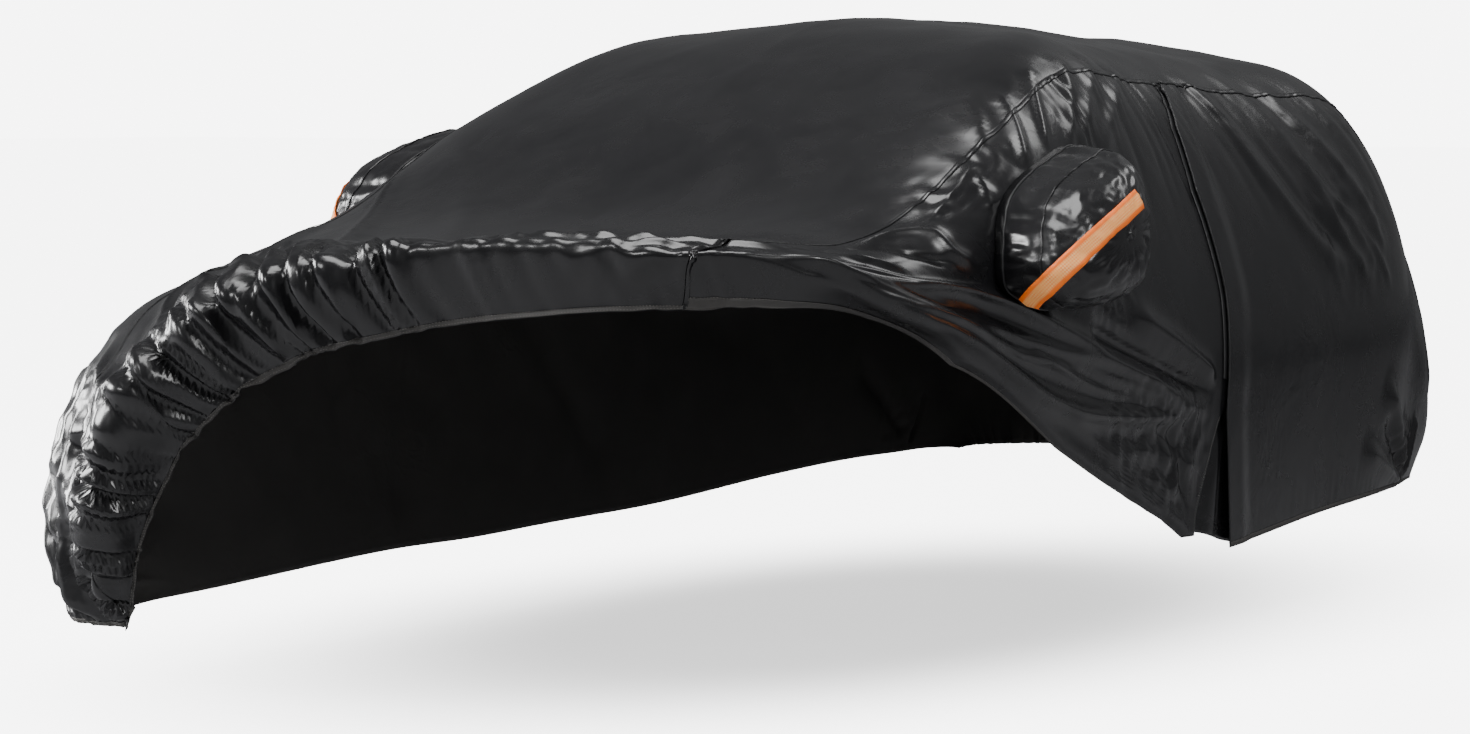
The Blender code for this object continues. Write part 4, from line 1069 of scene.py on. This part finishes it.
def felled_seam(name, sign, along, lift=0.0):
    """A narrow band over the joint at a rail, standing a little proud, its edges turned down."""
    across = sign * RAIL_ACROSS + SEAM_ACROSS[None, :] + 0 * along[:, None]
    along = along[:, None] + 0 * across
    points = cover_surface(across, along, SEAM_PROUD[None, :] + lift * np.ones_like(across))
    seam = sewn_mesh(name, points, finishes=(coated,), thickness=0.0008)
    return seam


flap_top = float(on_line(FLAP_EDGE, RAIL_ACROSS))
seam_front = float(on_line(FRONT_HEM, RAIL_ACROSS))
right_seam = felled_seam("rail_seam_right", -1, np.linspace(0.0, 1.0, 560))
left_seam_front = felled_seam("rail_seam_left_front", 1, np.linspace(seam_front, flap_top, 240))
rear_seam_along = np.linspace(flap_top + 0.0005, 1.0, 250)
rear_seam_lift = flap_lift(np.full((250, 1), RAIL_ACROSS), rear_seam_along[:, None])
left_seam_rear = felled_seam("rail_seam_left_rear", 1, rear_seam_along, rear_seam_lift)

# ---------------------------------------------------------------------------------------------------------
# Hem: the edge of the cloth turned up into a narrow tunnel with the elastic in it, stitched in two rows.
# ---------------------------------------------------------------------------------------------------------
HEM_PROUD = 0.0016
STITCH_EVERY = 0.0075
STITCH_LENGTH = 0.0048
STITCH_RADIUS = 0.0007
thread_finish = cloth_finish("sewing_thread", (0.16, 0.15, 0.14), (0.26, 0.25, 0.23),
                             (0.5, 0.7), 40.0, 0.0002)


def hem_tunnel(name, across, along, lift=0.0):
    """The hem's band over the first rows of a panel's own grid."""
    band = sewn_mesh(name, cover_surface(across, along, HEM_PROUD + lift), finishes=(hem_finish,),
                     thickness=0.0011)
    return band


def stitch_row(name, path, proud):
    """Small spindle stitches at even steps along a path, six points and eight faces each."""
    run = np.concatenate([[0], np.cumsum(np.linalg.norm(np.diff(path, axis=0), axis=1))])
    places = np.arange(STITCH_EVERY, run[-1] - STITCH_EVERY, STITCH_EVERY)
    centre = np.stack([np.interp(places, run, path[:, axis]) for axis in range(3)], -1)
    off = np.stack([np.interp(places, run, proud[:, axis]) for axis in range(3)], -1)
    front_end = places + STITCH_LENGTH / 2
    ahead = np.stack([np.interp(front_end, run, path[:, axis]) for axis in range(3)], -1) - centre
    ahead = ahead / np.linalg.norm(ahead, axis=1, keepdims=True)
    side = np.cross(ahead, off)
    side = side / np.linalg.norm(side, axis=1, keepdims=True)
    points = np.stack([centre - ahead * STITCH_LENGTH / 2, centre + side * STITCH_RADIUS,
                       centre + off * STITCH_RADIUS,
                       centre - side * STITCH_RADIUS, centre - off * STITCH_RADIUS,
                       centre + ahead * STITCH_LENGTH / 2], 1) + off[:, None] * STITCH_RADIUS
    first = 6 * np.arange(len(places))[:, None, None]
    faces = np.array([(0, 2, 1), (0, 3, 2), (0, 4, 3), (0, 1, 4),
                      (5, 1, 2), (5, 2, 3), (5, 3, 4), (5, 4, 1)]) + first
    mesh = bpy.data.meshes.new(name)
    mesh.from_pydata(points.reshape(-1, 3).tolist(), [], faces.reshape(-1, 3).tolist())
    mesh.materials.append(thread_finish)
    row = bpy.data.objects.new(name, mesh)
    bpy.context.scene.collection.objects.link(row)
    turn_outwards(row)
    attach(row, "root")
    return row


def stitched(name, across, along, lift):
    """A stitch row through a line of places on the cover."""
    across, along = across[None, :], along[None, :]
    return stitch_row(name, cover_surface(across, along, lift)[0], outward(drape, across, along)[0])


top_hem = hem_tunnel("front_hem_top", top_across[:4], top_along[:4])
top_hem_rear = hem_tunnel("rear_hem_top", top_across[-2:], top_along[-2:])
right_hem = hem_tunnel("front_hem_right", right_across[:3], right_along[:3])
right_hem_low = hem_tunnel("low_hem_right", right_across[:, :2], right_along[:, :2])
right_hem_rear = hem_tunnel("rear_hem_right", right_across[-2:], right_along[-2:])
front_hem_rows = 3 + int(np.argmax(front_share[:, 0] * 2.2 > 0.016))
front_side_hem = hem_tunnel("front_hem_left", front_across[:front_hem_rows], front_along[:front_hem_rows])
rear_lift = flap_lift(rear_across, rear_along)
rear_side_hem = hem_tunnel("low_hem_left", rear_across[:, -2:], rear_along[:, -2:], rear_lift[:, -2:])
rear_side_hem_rear = hem_tunnel("rear_hem_left", rear_across[-2:], rear_along[-2:], rear_lift[-2:])
top_stitches = [stitched("front_hem_stitches_top_%d" % row, top_across[row], top_along[row], HEM_PROUD)
                for row in (1, 3)]
right_stitches = [stitched("front_hem_stitches_right", right_across[1], right_along[1], HEM_PROUD)]
front_stitches = [stitched("front_hem_stitches_left", front_across[front_hem_rows - 1],
                           front_along[front_hem_rows - 1], HEM_PROUD)]

# ---------------------------------------------------------------------------------------------------------
# Door opening: the flap's corded edge, a narrow edge tape under it, a line of stitches down the loose
# corner's edge, and the inner guard, a narrow pleated strip that hangs behind the opening.
# ---------------------------------------------------------------------------------------------------------
OPENING_TOP = 0.842
flap_across = np.linspace(RAIL_ACROSS + 0.004, 0.998, 200)
flap_path = cover_surface(flap_across, on_line(FLAP_EDGE, flap_across) + 0.0002, FLAP_LIFT + 0.0008)
flap_cord = corded_edge("door_flap_piping", flap_path, 0.0030, binding_finish)
tape_across = np.linspace(RAIL_ACROSS + 0.006, 0.80, 190)[None, :]
tape_along = on_line(FLAP_EDGE, tape_across) + np.linspace(-0.0030, 0.0045, 4)[:, None]
edge_tape = sewn_mesh("door_edge_tape", cover_surface(tape_across + 0 * tape_along, tape_along, 0.0022),
                     finishes=(binding_finish,), thickness=0.0010)
loose_across = np.linspace(OPENING_TOP, LIFTED_CORNER, 60)
loose_along = on_line(DOOR_EDGE, loose_across) - 0.0022
loose_stitches = stitched("door_edge_stitches", loose_across, loose_along, 0.0006)
# The guard lies behind the opening, from GUARD_TOP down, and laps the cloth before and behind it. Its folds
# start a little below its top.
GUARD_TOP = 0.80
GUARD_DROP_FRONT = 0.165
GUARD_DROP_MORE_BEHIND = 0.033
GUARD_LAP_FRONT = 0.004
GUARD_LAP_BEHIND = 0.012
GUARD_DEPTH = 0.012
GUARD_FOLD = 0.007
GUARD_FOLDS = 3
guard_share = np.linspace(0, 1, 30)[:, None]
guard_drop = GUARD_DROP_FRONT + GUARD_DROP_MORE_BEHIND * guard_share
guard_across = GUARD_TOP + guard_drop * np.linspace(0, 1, 44)[None, :]
guard_front = on_line(DOOR_EDGE, guard_across) - GUARD_LAP_FRONT
guard_along = guard_front + (on_line(FLAP_EDGE, guard_across) + GUARD_LAP_BEHIND - guard_front) * guard_share
guard_folded = smooth_step((guard_across - 0.82) / 0.10)
guard_depth = -GUARD_DEPTH - GUARD_FOLD * np.sin(guard_share * GUARD_FOLDS * np.pi) * guard_folded
door_guard = sewn_mesh("door_guard", cover_surface(guard_across + 0 * guard_share, guard_along, guard_depth),
                       finishes=(coated, backing), thickness=0.0010)
